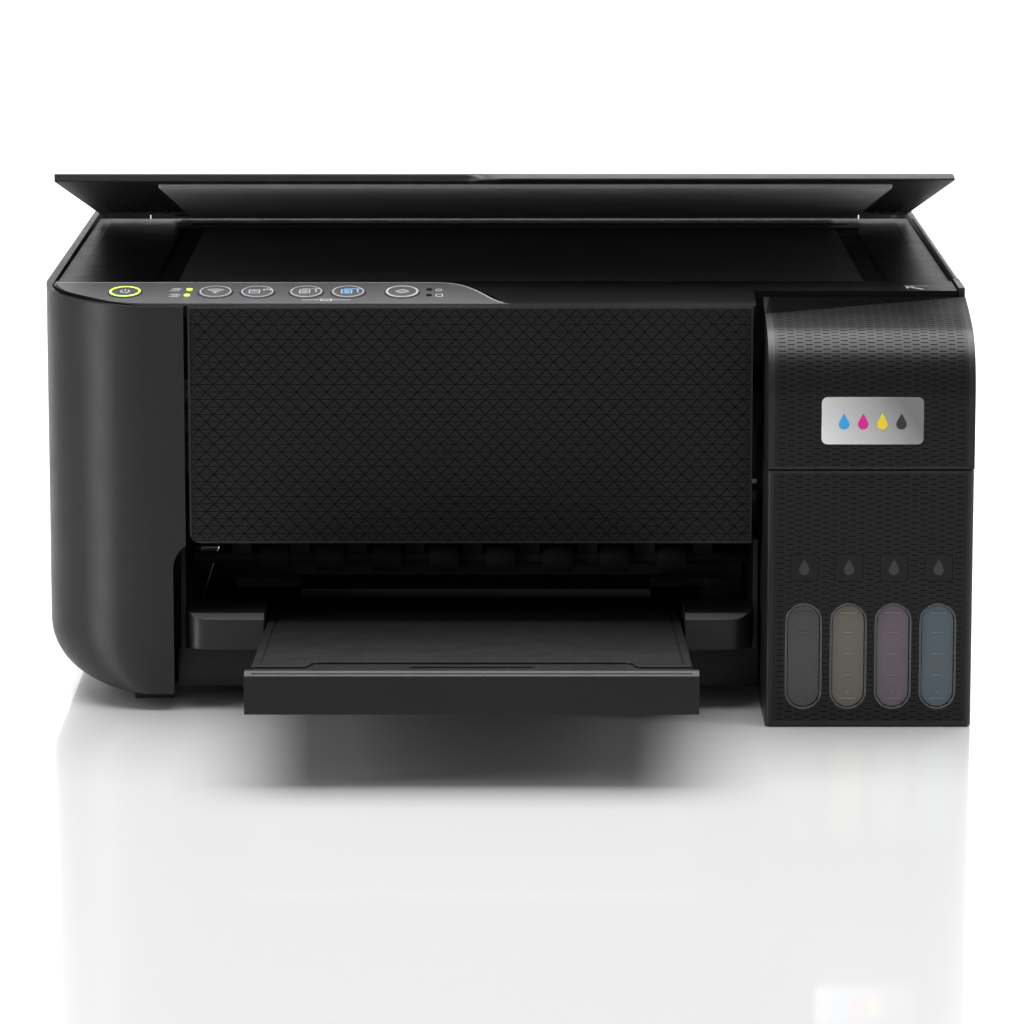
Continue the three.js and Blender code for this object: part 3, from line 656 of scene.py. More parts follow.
def shifted(path, distance):
    """The path moved square to itself, inwards."""
    moved = []
    for i, (y, z) in enumerate(path):
        (y0, z0), (y1, z1) = path[max(0, i - 1)], path[min(len(path) - 1, i + 1)]
        size = hypot(y1 - y0, z1 - z0)
        moved.append((y + (z1 - z0) / size * distance, z - (y1 - y0) / size * distance))
    return moved


def label_outline(cx, set_in, radius):
    half = LABEL_HALF - set_in
    return centred_rect(cx, LABEL_CENTRE, half, half, radius)


def tank_front():
    """Lower part of the tank unit: smooth shell with a woven skin let into its face."""
    low, high = span("tank_housing", Z)
    rear = behind(83.6)
    x = (TANK_LEFT, RIGHT)
    skin_x = (x[0] + SKIN_MARGIN, x[1] - SKIN_MARGIN)
    shell = prism("tank_shell", round_rect(x, (TANK_FRONT, rear + 10), 2.2, 6), "Z", low, high)
    hollow = round_rect((x[0] + WALL, x[1] - WALL), (TANK_FRONT + WALL, 500), 1.5, 4)
    carve(
        shell,
        prism("h", hollow, "Z", low + WALL, 500),
        block("r", (0, 400), (rear, 400), (-10, 400)),
        block("t", (0, 400), (-400, behind(54)), (SEAM - 0.2, 400)),
        block("s", (0, x[1] - WALL - 0.1), (-400, 400), (SEAM - 0.2, 400)),
        block("p", skin_x, (-400, TANK_FRONT + 0.7), (low + 2, SEAM - 1.2)),
        *[facing("w", stadium(cx, 0), -5, 6) for cx in TANK_X],
    )
    show(soften(shell, 0.6, 3), "base", CASING, "textured", "tank_housing")
    path = [(behind(0.05), low + 2), (behind(0.05), SEAM - 1.2)]
    skin = woven_skin("tank_front_weave", skin_x, path, 0.65)
    labels = [facing("l", label_outline(cx, 0, 1.6), -5, 5) for cx in TANK_X]
    windows = [facing("w", stadium(cx, 0.6), -5, 5) for cx in TANK_X]
    carve(skin, *labels, *windows)
    show(skin, "base", TEXTURED, "textured")


def drop_outline(cx, cz, r, steps=14):
    """An ink drop: a circle that runs up to a point."""
    tip = 2.1 * r
    sweep = degrees(asin(r / tip))
    return arc(cx, cz, r, r, 180 - sweep, 360 + sweep, steps) + [(cx, cz + tip)]


LEVEL_LINES = ((WINDOW[1] - 3.4, 3.4), (38.6, 2.1), (29.9, 2.1), (21.2, 2.1), (WINDOW[0] + 3.9, 3.4))
ARROW_TIP = 13.5
DROP_RADIUS = 2.1


def window_rim(colour, cx):
    rim = facing("ink_window_rim_" + colour, stadium(cx, 0.55), -0.05, 2)
    carve(rim, facing("c", stadium(cx, -0.35), -5, 9))
    show(soften(rim, 0.3, 3), "base", WINDOW_RIM, "textured")


def ink_tank(colour, cx):
    """The tank itself, with the raised window in front and the filler neck on top."""
    node = "ink_tank_" + colour
    tank = block("ink_tank_body_" + colour, span(node, X), (behind(4), behind(58)), (6, 78))
    window = facing("w", stadium(cx, -0.45), 0.9, 5)
    neck = prism("n", ellipse(cx, behind(36), 4.5), "Z", 77, 86)
    fuse(tank, window, neck)
    show(soften(tank, 0.7, 3), "base", INKS[colour], "ink_" + colour, node)


def level_marks(colour, cx):
    """Lines at full, at the quarters and at low, and an arrow that points down."""
    y = (behind(0.62), behind(1.0))
    marks = []
    for height, half in LEVEL_LINES:
        marks.append(block("m", (cx - half, cx + half), y, (height - 0.28, height + 0.28)))
    low, inner, high = ARROW_TIP, ARROW_TIP + 0.9, ARROW_TIP + 2.2
    arrow = [(cx - 1.3, high), (cx, low), (cx + 1.3, high), (cx + 0.8, high), (cx, inner), (cx - 0.8, high)]
    marks.append(prism("m", arrow, "Y", *y))
    show(join("ink_level_marks_" + colour, marks), "base", LEVEL_MARKS[colour], "ink_" + colour)


def ink_label(colour, cx):
    label = facing("ink_label_" + colour, label_outline(cx, 0.1, 1.5), 0.12, 0.7)
    show(soften(label, 0.12, 2), "base", LABEL, "textured")
    drop = facing("ink_drop_" + colour, drop_outline(cx, LABEL_CENTRE - 0.9, DROP_RADIUS), 0.02, 0.4)
    show(drop, "base", LABEL_MARK, "textured")


def ink_windows():
    for colour, cx in zip(INK_COLOURS, TANK_X):
        window_rim(colour, cx)
        ink_tank(colour, cx)
        level_marks(colour, cx)
        ink_label(colour, cx)


def tank_badge():
    """A plain silver plate with a row of small ink drops; its foil carries a painted reflection that darkens
    across it.
    """
    badge = facing("tank_badge", round_rect(BADGE_X, BADGE_Z, 2.3), -0.02, 0.64)
    show(soften(badge, 0.18, 2), "tank_cover", BADGE, "textured")
    middle = sum(BADGE_Z) / 2
    for i, colour in enumerate(BADGE_COLOURS):
        cx = sum(BADGE_X) / 2 + (i - 1.5) * 7.6
        drop = facing("badge_drop_" + colour, drop_outline(cx, middle - 1.4, DROP_RADIUS), -0.12, 0.2)
        show(drop, "tank_cover", BADGE_INKS[colour], "ink_" + colour)


def tank_cover():
    """The hinged cover: its profile runs up the front and curls back over the top."""
    x = (span("ink_tank_cover", X)[0], RIGHT)
    skin_x = (x[0] + SKIN_MARGIN, x[1] - SKIN_MARGIN)
    bottom = SEAM + 0.5
    outer = tank_profile() + [(behind(51.5), bottom)]
    inner = tank_profile(WALL, 80) + [(behind(80), 50), (behind(WALL), 50)]
    shell = prism("tank_cover_shell", outer, "X", *x)
    face = [p for p in tank_profile() if p[1] >= bottom]
    start = [(face[0][0], bottom + 1.2)] + face[1:]
    pocket = shifted(start, -9) + shifted(start, 0.65)[::-1]
    carve(
        shell,
        prism("i", inner, "X", x[0] + WALL, x[1] - WALL),
        prism("p", pocket, "X", *skin_x),
    )
    show(soften(shell, 0.5, 3), "tank_cover", CASING, "textured", "ink_tank_cover")
    skin = woven_skin("tank_cover_weave", skin_x, shifted(start, 0.04), 0.6)
    carve(skin, facing("b", round_rect(BADGE_X, BADGE_Z, 2.4), -5, 5))
    show(skin, "tank_cover", TEXTURED, "textured")
    tank_badge()


# ---------------------------------------------------------------- scanner unit
PANEL_LOW = 167.0
PANEL_TILT = atan2(span("control_panel", Z)[1] - PANEL_LOW, CONTROL_REAR - SCANNER_FRONT)
SIDE_INSET = 3.1
STEP_WIDTH = 82.8
GLASS_LEDGE = 4
# Width of the black strips along the glass's sides, which are painted dark reflection.
DARK_REFLECTION_WIDTH = 8.4


def panel_plan(grow):
    """Plan of the control panel: round at the left, and an S to the front at the right."""
    front = SCANNER_FRONT - grow
    rear = CONTROL_REAR + grow
    corner = (LEFT + CORNER_RADIUS, BODY_FRONT + CORNER_RADIUS)
    r = CORNER_RADIUS - 3.5 + grow
    last = 180 + degrees(asin((corner[1] - rear) / r))
    right = 3 + 3 * grow
    path = bezier((right, front), (right - 9, front + 1), (right - 12, rear), (right - 29, rear), 24)
    return path + arc(*corner, r, r, last, 270, 24)


def panel_sheet(name, plan, below, above):
    """A sheet lying on the sloping control panel, from below to above its face."""
    sheet = prism(name, plan, "Z", -below, above)
    shear = Matrix.Identity(4)
    shear[2][1] = tan(PANEL_TILT)
    shear[2][3] = (PANEL_LOW - SCANNER_FRONT * tan(PANEL_TILT)) * MM
    sheet.data.transform(shear)
    return sheet


BUTTONS = ("power", "wireless", "status", "mono_copy", "colour_copy", "stop")


def button_shape(name):
    node = name + "_button"
    x, y = span(node, X), span(node, Y)
    return sum(x) / 2, sum(y) / 2, (x[1] - x[0]) / 2, (y[1] - y[0]) / 2


def strip(points, width):
    """Outline of a band of this width that follows an open line."""
    left, right = [], []
    for i, (u, v) in enumerate(points):
        (u0, v0), (u1, v1) = points[max(0, i - 1)], points[min(len(points) - 1, i + 1)]
        size = hypot(u1 - u0, v1 - v0)
        nu, nv = -(v1 - v0) / size * width / 2, (u1 - u0) / size * width / 2
        left.append((u + nu, v + nv))
        right.append((u - nu, v - nv))
    return left + right[::-1]


def frame_line(x, y, w, h, width=0.45):
    """Four bands that make a rectangle's outline, centred on (x, y)."""
    (x0, x1), (y0, y1) = (x - w / 2, x + w / 2), (y - h / 2, y + h / 2)
    half = width / 2
    sides = (((x0 - half, y0), (x1 + half, y0)), ((x0 - half, y1), (x1 + half, y1)))
    uprights = (((x0, y0), (x0, y1)), ((x1, y0), (x1, y1)))
    return [strip(line, width) for line in sides + uprights]


def power_icon(x, y):
    ring = arc(x, y, 1.7, 2.3, 130, 410, 20)
    return [strip(ring, 0.5), strip([(x, y + 0.4), (x, y + 2.9)], 0.5)]


def wireless_icon(x, y):
    fans = [strip(arc(x, y - 2.2, r, r * 1.35, 42, 138, 12), 0.55) for r in (1.6, 3.0, 4.4)]
    return fans + [ellipse(x, y - 2.0, 0.6, 0.75, 12)]


def sheet_icon(x, y, lines=3):
    rules = [strip([(x - 1.2, y + 1.3 - 1.3 * i), (x + 1.2, y + 1.3 - 1.3 * i)], 0.4) for i in range(lines)]
    return frame_line(x, y, 4.0, 5.2) + rules


def copy_icon(x, y):
    behind_sheet = [strip([(x - 1.6, y + 4.0), (x + 3.9, y + 4.0), (x + 3.9, y - 1.6)], 0.45)]
    spark = [strip([(x + 3.4, y + 2.6), (x + 5.2, y + 4.8)], 0.4)]
    return sheet_icon(x - 0.6, y - 0.3) + behind_sheet + spark


def status_icon(x, y):
    drops = [ellipse(x + 2.6 + 1.3 * i, y + 2.4 + 0.9 * (i % 2), 0.55, 0.8, 10) for i in range(3)]
    return sheet_icon(x - 1.2, y - 0.4, 2) + drops


def stop_icon(x, y):
    diamond = [(x - 2.6, y), (x, y + 2.9), (x + 2.6, y), (x, y - 2.9), (x - 2.6, y)]
    sides = [strip(pair, 0.5) for pair in zip(diamond, diamond[1:])]
    return sides + [strip([(x - 1.1, y), (x + 1.1, y)], 0.5)]


ICONS = {
    "power": power_icon, "wireless": wireless_icon, "status": status_icon,
    "mono_copy": copy_icon, "colour_copy": copy_icon, "stop": stop_icon,
}


def printed(name, outlines, level, thickness=0.12):
    """Marks printed on the control panel, each a thin sheet just proud of the face."""
    return join(name, [panel_sheet("mark", outline, -level + 0.05, level + thickness) for outline in outlines])


def ring_outlines(x, y, rx, ry, width):
    """A ring made as two half bands, so that each outline is a simple one."""
    return [strip(arc(x, y, rx, ry, start, start + 180, 32), width) for start in (0, 180)]


def control_panel():
    sheet = panel_sheet("control_film", panel_plan(0), 2.4, 0)
    wells = []
    for name in BUTTONS:
        x, y, rx, ry = button_shape(name)
        wells.append(prism("well", ellipse(x, y, rx + 0.3, ry + 0.3), "Z", 120, 200))
    carve(sheet, *wells)
    show(soften(sheet, 0.3, 2), "scanner_unit", PANEL_FILM, "panel_grey", "control_panel")
    # A thin light line along the panel's S-shaped edge: a painted highlight.
    line = strip(panel_plan(-0.35)[2:26], 0.7)
    show(panel_sheet("control_film_painted_highlight", line, -0.02, 0.1), "scanner_unit", PAINTED_EDGE_HIGHLIGHT, "panel_grey")
    for name in BUTTONS:
        x, y, rx, ry = button_shape(name)
        lit = {"power": GREEN_GLOW}.get(name, PRINTED)
        printed_in = {"colour_copy": BLUE_MARK}.get(name, PRINTED)
        cap = panel_sheet(name + "_cap", ellipse(x, y, rx, ry, 64), 3.4, 0.5)
        show(soften(cap, 0.3, 3), name + "_button", PANEL_FILM, "panel_grey", name + "_button")
        wide = 0.75 if name in ("power", "stop") else 0.4
        ring = printed(name + "_ring", ring_outlines(x, y, rx - 0.7, ry - 0.9, wide), 0.5)
        show(ring, name + "_button", lit, "panel_grey")
        icon = printed(name + "_icon", ICONS[name](x, y), 0.5)
        show(icon, name + "_button", printed_in, "panel_grey")
    lamps_and_marks()


LAMP_ROW = 4.6


def lamps_and_marks():
    """The status lamps between the buttons, and the small signs beside them."""
    row = button_shape("status")[1]
    upper, lower = row + LAMP_ROW, row - LAMP_ROW
    lamps = [(-127.6, upper, GREEN_GLOW), (-128.1, lower, GREEN_GLOW)]
    lamps += [(-30.2, upper, DARK_LAMPS_AND_PAINTED_REFLECTION), (-30.2, lower, DARK_LAMPS_AND_PAINTED_REFLECTION)]
    for i, (x, y, finish) in enumerate(lamps):
        lamp = panel_sheet("lamp_%d" % (i + 1), ellipse(x, y, 1.25, 1.5, 24), -0.02, 0.3)
        show(soften(lamp, 0.12, 2), "scanner_unit", finish, "panel_grey")
    signs = []
    for y in (upper, lower):
        signs += [strip(arc(-132.8, y - 1.6, r, 1.3 * r, 40, 140, 8), 0.5) for r in (1.4, 2.6)]
        signs += [strip([(-135.4, y - 1.9), (-131.4, y - 1.9)], 0.45)]
    drop = drop_outline(-26.3, row + 3.9, 1.2, 10)
    signs += [strip(drop + drop[:1], 0.4)]
    signs += frame_line(-26.0, lower, 2.6, 3.6, 0.4)
    mono, colour = button_shape("mono_copy")[0], button_shape("colour_copy")[0]
    low = row - 12.0
    signs += [strip([(mono - 1, low + 1.6), (mono - 1, low), (mono + 6, low)], 0.4)]
    signs += [strip([(colour + 1, low + 1.6), (colour + 1, low), (colour - 6, low)], 0.4)]
    signs += frame_line((mono + colour) / 2, low, 4.2, 2.4, 0.5)
    show(printed("panel_signs", signs, 0), "scanner_unit", PRINTED, "panel_grey")


def scanner_plan(inset):
    """Plan of the scanner's deck: round at the front left, stepped at the ink tank unit."""
    side = LEFT + inset
    back = span("scanner_frame", Y)[1]
    step = behind(54)
    right = -side
    corner = (LEFT + CORNER_RADIUS, BODY_FRONT + CORNER_RADIUS)
    r = CORNER_RADIUS - inset
    edge = span("scanner_frame", X)[1] - STEP_WIDTH
    path = [(edge, SCANNER_FRONT), (edge, step), (right, step), (right, back), (side, back)]
    return path + arc(*corner, r, r, 180, 270, 24)


def scanner_deck():
    """The gloss frame round the glass, with its raised strip in front and rounded front lip."""
    front, strip_rear = behind(60), GLASS[1][0] - 0.6
    back = span("scanner_frame", Y)[1]
    deck = GLASS[2][1]
    lip = bezier(
        (front, FRAME_TOP), (front - 14, FRAME_TOP), (SCANNER_FRONT + 5, PANEL_LOW + 1.6),
        (SCANNER_FRONT, PANEL_LOW - 1.0), 14,
    )
    section = [(front, 161), (front, 163), (back, 163), (back, deck), (strip_rear + 0.6, deck)]
    section += [(strip_rear, deck + 0.4), (strip_rear, FRAME_TOP - 0.5), (strip_rear - 0.5, FRAME_TOP)]
    section += lip + [(SCANNER_FRONT, 161)]
    body = prism("scanner_deck", scanner_plan(SIDE_INSET), "Z", 120, 190)
    combine(body, [prism("s", section, "X", -400, 400)], "INTERSECT")
    under = panel_sheet("u", panel_plan(0.3), 2.7, 20)
    wells = []
    for name in BUTTONS:
        x, y, rx, ry = button_shape(name)
        wells.append(panel_sheet("w", ellipse(x, y, rx + 0.3, ry + 0.3), 5.2, 20))
    (x0, x1), (y0, y1), _ = GLASS
    ledge = GLASS_LEDGE
    carve(
        body, under, *wells,
        block("g", (x0 - 0.3, x1 + 0.3), (y0 - 0.3, y1 + 0.3), (165, 190)),
        block("o", (x0 + ledge, x1 - ledge), (y0 + ledge, y1 - ledge), (150, 190)),
    )
    show(soften(body, 0.35, 2), "scanner_unit", GLOSS, "gloss_black", "scanner_frame")
    deck_steps(deck)
    sheet = block("scan_glass", (x0, x1), (y0, y1), GLASS[2])
    show(soften(sheet, 0.25, 2), "scanner_unit", GLASS_DARK_AND_PAINTED_REFLECTION, "scan_glass", "scanner_glass")
    glass_surround(deck, back)
    corner_mark()


def deck_steps(deck):
    """Long shallow steps at both sides of the glass."""
    (x0, x1), (y0, y1), _ = GLASS
    steps = []
    for side, x in ((-1, x0 - 1.6), (1, x1 + 1.6)):
        low, high = sorted((x, side * (-LEFT - 9)))
        steps.append(block("r", (low, high), (y0 + 6, y1 - 3), (deck - 0.2, deck + 0.35)))
    show(soften(join("deck_steps", steps), 0.3, 2), "scanner_unit", GLOSS, "gloss_black")


def glass_surround(deck, back):
    """Black strips of painted dark reflection along the glass's sides, and the raised bar behind it."""
    (x0, x1), (y0, y1), _ = GLASS
    bar_front = y1 - 30.5
    y, z = (y0 + 0.6, bar_front), (deck - 0.05, deck + 0.1)
    # Black strips along the glass's sides: painted dark reflection of what lies beyond the lid's pad.
    dark_reflection_strips = [
        block("b", (x0 + 0.2, x0 + DARK_REFLECTION_WIDTH), y, z),
        block("b", (x1 - DARK_REFLECTION_WIDTH, x1 - 0.2), y, z),
    ]
    show(join("glass_painted_dark_reflection", dark_reflection_strips), "scanner_unit", DARK_LAMPS_AND_PAINTED_REFLECTION, "scan_glass")
    bar = block("rear_bar", (x0 - 4, x1 + 4), (bar_front, back - 6), (deck - 0.2, deck + 0.5))
    groove = block("g", (x0 + 2, x1 - 2), (bar_front + 11, bar_front + 16), (deck + 0.15, deck + 2))
    show(soften(carve(bar, groove), 0.3, 2), "scanner_unit", RAISED_BAR, "gloss_black")


def corner_mark():
    """The printed arrow at the glass's front right corner, where a page is laid."""
    x, y = 167.5, behind(62.5)
    marks = [
        [(x - 3.2, y + 4), (x + 0.4, y + 4), (x - 3.2, y - 2.6)],
        strip([(x - 2.6, y + 3.2), (x + 3.4, y - 5)], 1.3),
        strip([(x - 3.6, y + 5.4), (x + 6.4, y + 5.4)], 0.8),
    ]
    sheets = [prism("m", mark, "Z", FRAME_TOP - 0.1, FRAME_TOP + 0.12) for mark in marks]
    show(join("corner_mark", sheets), "scanner_unit", PRINTED, "gloss_black")


# ---------------------------------------------------------------- document lid
LID_PIVOT = (189.0, 171.5)
LID_OPEN = radians(10)
LID_LOW, LID_FRONT_HIGH, LID_HIGH = 170.1, 173.5, 179.0
LID_SPLIT = -8.0
LID_BLEND = 18
LID_HALF = 183.3
LID_LEFT_FRONT, LID_STEP_BACK = 67.8, 10.8
PAD_X = (-142.0, 160.0)
PAD_Y = (behind(86), behind(300))
PAD_BOTTOM, PAD_TOP = GLASS[2][1] + 0.6, 171


def lid_front(x):
    """How far the lid's lower front edge stands out at x: an S joins two depths."""
    share = min(1, max(0, (x - LID_SPLIT + LID_BLEND / 2) / LID_BLEND))
    blend = share * share * (3 - 2 * share)
    return behind(LID_LEFT_FRONT - LID_STEP_BACK * blend)


def lid_section(low):
    """Side view of the lid, with its lower front edge at y = low."""
    rear, top_front = behind(305), behind(66.8)
    brow = bezier(
        (low + 0.1, LID_LOW + 0.7), ((low + top_front) / 2, LID_FRONT_HIGH - 1.2),
        (top_front - 0.6, LID_FRONT_HIGH - 0.25), (top_front + 2, LID_FRONT_HIGH), 10,
    )
    section = [(rear, LID_LOW), (low + 0.6, LID_LOW), (low + 0.15, LID_LOW + 0.25)] + brow
    return section + [(rear - 4, LID_HIGH - 0.1), (rear - 1.2, LID_HIGH - 0.8), (rear, LID_HIGH - 3)]


def lid_wedge():
    """A thin wedge. Left of the middle its front stands upright; to the right it leans out."""
    start = LID_SPLIT - LID_BLEND / 2
    stations = [-LID_HALF, start] + [start + LID_BLEND * i / 12 for i in range(1, 13)] + [LID_HALF]
    sections = [lid_section(lid_front(x)) for x in stations]
    size = len(sections[0])
    verts = [(x, y, z) for x, section in zip(stations, sections) for y, z in section]
    last = (len(stations) - 1) * size
    faces = []
    for a in range(0, last, size):
        b = a + size
        faces += [(a + j, a + (j + 1) % size, b + (j + 1) % size, b + j) for j in range(size)]
    faces += [tuple(range(size)), tuple(range(last, last + size))]
    return object_from("lid_shell", verts, faces)


def lid_shell():
    """The lid with its pad, a painted highlight along the pad's front edge, and low ribs under its margins."""
    shell = lid_wedge()
    front, rear = PAD_Y[0] + 6, PAD_Y[1] - 6
    hollow = [(front, 171), (rear, 171), (rear, LID_HIGH - 3), (front, 171.5)]
    seat_x, seat_y = ((low - 0.4, high + 0.4) for low, high in (PAD_X, PAD_Y))
    carve(
        shell,
        block("p", seat_x, seat_y, (160, 171.4)),
        prism("q", hollow, "X", PAD_X[0] + 6, PAD_X[1] - 6),
    )
    lid_part(shell, (0.3, 2), LID_PLASTIC, "casing", "document_lid")
    pad = block("lid_pad_sheet", PAD_X, PAD_Y, (PAD_BOTTOM, PAD_TOP))
    lid_part(pad, (0.5, 3), PAD, "foam", "lid_pad")
    # A light grey strip along the pad's front edge is a painted highlight.
    pad_highlight_x, pad_highlight_y = (PAD_X[0] + 1, PAD_X[1] - 1), (PAD_Y[0] - 0.25, PAD_Y[0] + 0.6)
    pad_highlight = block("lid_pad_painted_highlight", pad_highlight_x, pad_highlight_y, (PAD_BOTTOM + 0.1, PAD_BOTTOM + 0.9))
    lid_part(pad_highlight, (0.15, 2), PAINTED_EDGE_HIGHLIGHT, "foam")
    ribs = []
    for x in [-176 + 8 * i for i in range(4)] + [166 + 5 * i for i in range(3)]:
        ribs.append(block("r", (x, x + 1.2), (behind(230), behind(296)), (LID_LOW - 0.5, LID_LOW + 0.3)))
    for x in ((-181, -144), (162, 181)):
        ribs.append(block("r", x, (behind(272), behind(274)), (LID_LOW - 0.6, LID_LOW + 0.3)))
    lid_part(join("lid_ribs", ribs), (0.15, 1), LID_PLASTIC, "casing")


def lid_part(piece, rounding, finish, slot, *nodes):
    """Turns a piece drawn on the shut lid up to where the lid rests, and shows it."""
    turn(piece, LID_PIVOT, LID_OPEN)
    show(soften(piece, *rounding), "lid", finish, slot, *nodes)


# ---------------------------------------------------------------- output tray
TRAY_X = sum(span("output_tray", X)) / 2
TRAY_HALF = (span("output_tray", X)[1] - span("output_tray", X)[0]) / 2
TRAY_TOP = 36.3
TRAY_SLOPE = radians(3.9)
TRAY_FRONT = -(BODY_FRONT - span("tray_extension", Y)[0]) / cos(TRAY_SLOPE) + sin(TRAY_SLOPE) * 18
TRAY_REAR = 40.0
LIP_BACK = 6.2
LIP_BOTTOM = -16.6


def tray_place(piece):
    """Moves a piece drawn in the tray's own frame to where the tray slopes."""
    move = Matrix.Translation(Vector((TRAY_X, BODY_FRONT, TRAY_TOP)) * MM)
    piece.data.transform(move @ Matrix.Rotation(-TRAY_SLOPE, 4, "X"))
    return piece


def mouth_line(t):
    """The line the tray and its extension meet along, shifted forward by t."""
    w = TRAY_HALF
    wide, narrow = TRAY_FRONT + 14 - t, TRAY_FRONT + 26 - t
    left = bezier((-w + 19, wide), (-w + 24, wide), (-w + 20, narrow), (-w + 26, narrow), 12)
    return left + [(-x, y) for x, y in left[::-1]]


def output_tray():
    """The sloping plate, with a rail and a flange under each side and a fine groove along it."""
    w = TRAY_HALF
    front = TRAY_FRONT + 14
    plan = [(-w, TRAY_REAR), (-w, front)] + mouth_line(0) + [(w, front), (w, TRAY_REAR)]
    plate = prism("tray_plate", plan, "Z", -2, 0)
    rails, grooves = [], []
    for side in (-1, 1):
        rail, flange = (sorted((side * w, side * (w - width))) for width in (2, 8))
        rails.append(block("r", rail, (front, TRAY_REAR), (-6.8, -0.5)))
        rails.append(block("f", flange, (front, TRAY_REAR), (-6.8, -5.4)))
        x = side * (w - 3.4)
        grooves.append(block("g", (x - 0.35, x + 0.35), (TRAY_FRONT + 22, TRAY_REAR + 4), (-0.5, 1)))
    fuse(plate, *rails)
    for groove in grooves:
        carve(plate, groove)
    tray_place(soften(plate, 0.35, 3))
    show(plate, "tray", TRAY_PLASTIC, "casing", "output_tray")


def tray_extension():
    """The sheet under the tray, with the tongue and the lip in front."""
    w = TRAY_HALF
    front, gap = TRAY_FRONT, 0.4
    plan = [(-w + 0.5, front + 1), (w - 0.5, front + 1), (w - 0.5, front + 14 - gap)]
    plan += mouth_line(gap)[::-1] + [(-w + 0.5, front + 14 - gap)]
    tongue = prism("tray_tongue", plan, "Z", -5, -0.9)
    sheet = block("s", (-w + 2.4, w - 2.4), (front + 1, TRAY_REAR - 4), (-5, -2.4))
    back = front + LIP_BACK
    lip = [(front + 0.2, LIP_BOTTOM), (front + 3, LIP_BOTTOM), (front + 3, -5), (back, -3), (back, -0.1)]
    lip += [(front + 2.6, -0.1), (front, -1.9)]
    fuse(tongue, sheet, prism("l", lip, "X", -w - 2.2, w + 2.2))
    slot = round_rect((-24, 24), (front + 15.5, front + 20), 2.2)
    carve(tongue, prism("slot", slot, "Z", -2.6, 9))
    tray_place(soften(tongue, 0.18, 2))
    show(tongue, "tray_extension", TRAY_PLASTIC, "casing", "tray_extension")


BLOCK_Z = (25.4, 40.2)
BLOCK_ENDS = ((-97.2, -129.4), (73.6, 101.6))
BLOCK_RADIUS = 9.0


def output_blocks():
    """Two blocks beside the tray: chamfered along the top, and round at their outer ends."""
    low, high = BLOCK_Z
    rear, r = behind(58), BLOCK_RADIUS
    section = [(BODY_FRONT, low), (BODY_FRONT, high - 2.4), (BODY_FRONT + 3.2, high), (rear, high), (rear, low)]
    parts = []
    for inner, outer in BLOCK_ENDS:
        side = 1 if outer > inner else -1
        body = prism("output_blocks", section, "X", *sorted((inner, outer)))
        corner = arc(outer - side * r, BODY_FRONT + r, r, r, 270, 270 + side * 90, 12)
        plan = [(inner, BODY_FRONT)] + corner + [(outer, rear), (inner, rear)]
        combine(body, [prism("p", plan, "Z", 0, 60)], "INTERSECT")
        parts.append(body)
    parts.append(block("t", (-99, 75), (behind(50), behind(57)), (low, low + 2)))
    blocks = fuse(*parts)
    show(soften(blocks, 0.4, 3), "base", CASING, "casing", "output_frame")


# ---------------------------------------------------------------- back and sides
VENT_COLUMNS, VENT_ROWS = 3, 7
SCREWS = ((-156, 22), (-156, 152), (0, 152), (157, 152), (82, 22))


def middle_of(node):
    return [sum(span(node, axis)) / 2 for axis in (X, Y, Z)]


def rear_panel(rear):
    """A sill inside the rear cover, and raised louvres and ribs on its face."""
    sill = block("rear_sill", (-163, 164), (rear - 6, rear - WALL - 0.05), (10.05, 15))
    show(soften(sill, 0.3, 2), "base", INNER, "casing")
    louvres = []
    for x in range(-138, -138 + 26 * VENT_COLUMNS, 26):
        for z in range(30, 30 + 5 * VENT_ROWS, 5):
            louvres.append(block("l", (x, x + 21), (rear - 0.3, rear + 0.7), (z, z + 2.2)))
    show(soften(join("rear_louvres", louvres), 0.5, 3), "base", CASING, "casing")
    y = (rear - 0.3, rear + 0.5)
    ribs = [block("r", (x, x + 1.6), y, (60, 150)) for x in (-150, -50, 50, 150)]
    ribs += [block("r", (-150, 151.6), y, (z, z + 1.6)) for z in (60, 148.4)]
    show(soften(join("rear_ribs", ribs), 0.3, 2), "base", CASING, "casing")


def rear_screws(rear):
    """Screw heads with a cross in each."""
    screws = []
    y = (rear + 0.3, rear + 5)
    for x, z in SCREWS:
        head = prism("s", ellipse(x, z, 3.2, steps=28), "Y", rear - 0.2, rear + 1.0)
        long, thin = 1.9, 0.35
        cross = [
            block("c", (x - across, x + across), y, (z - up, z + up))
            for across, up in ((long, thin), (thin, long))
        ]
        screws.append(carve(head, *cross))
    show(soften(join("rear_screws", screws), 0.25, 2), "base", STEEL, "steel")


def socket_details(rear):
    """The mains inlet's pins, the USB socket's tongue, and a rim round each socket."""
    inlet, usb = middle_of("mains_inlet"), middle_of("usb_socket")
    inside = (rear - 14.5, rear - 3)
    pins = [
        prism("p", ellipse(inlet[0] + dx, inlet[2], 1.3, steps=20), "Y", *inside) for dx in (-4.3, 4.3)
    ]
    show(soften(join("mains_pins", pins), 0.5, 3), "base", STEEL, "steel")
    tongue = block("usb_tongue", (usb[0] - 2.6, usb[0] + 2.6), inside, (usb[2] - 1.2, usb[2] + 1.2))
    show(soften(tongue, 0.3, 2), "base", NYLON, "inner_plastic")
    rims = []
    for (x, _, z), outer, hole in ((inlet, (17, 14), (14.8, 11.8)), (usb, (9.5, 9), (7.5, 7))):
        rim = prism("m", centred_rect(x, z, *outer, 2), "Y", rear - 0.2, rear + 0.6)
        rims.append(carve(rim, prism("m", centred_rect(x, z, *hole, 1), "Y", rear - 5, rear + 5)))
    show(soften(join("socket_rims", rims), 0.25, 2), "base", CASING, "casing")


def rear_details():
    rear = span("rear_cover", Y)[1]
    rear_panel(rear)
    rear_screws(rear)
    socket_details(rear)


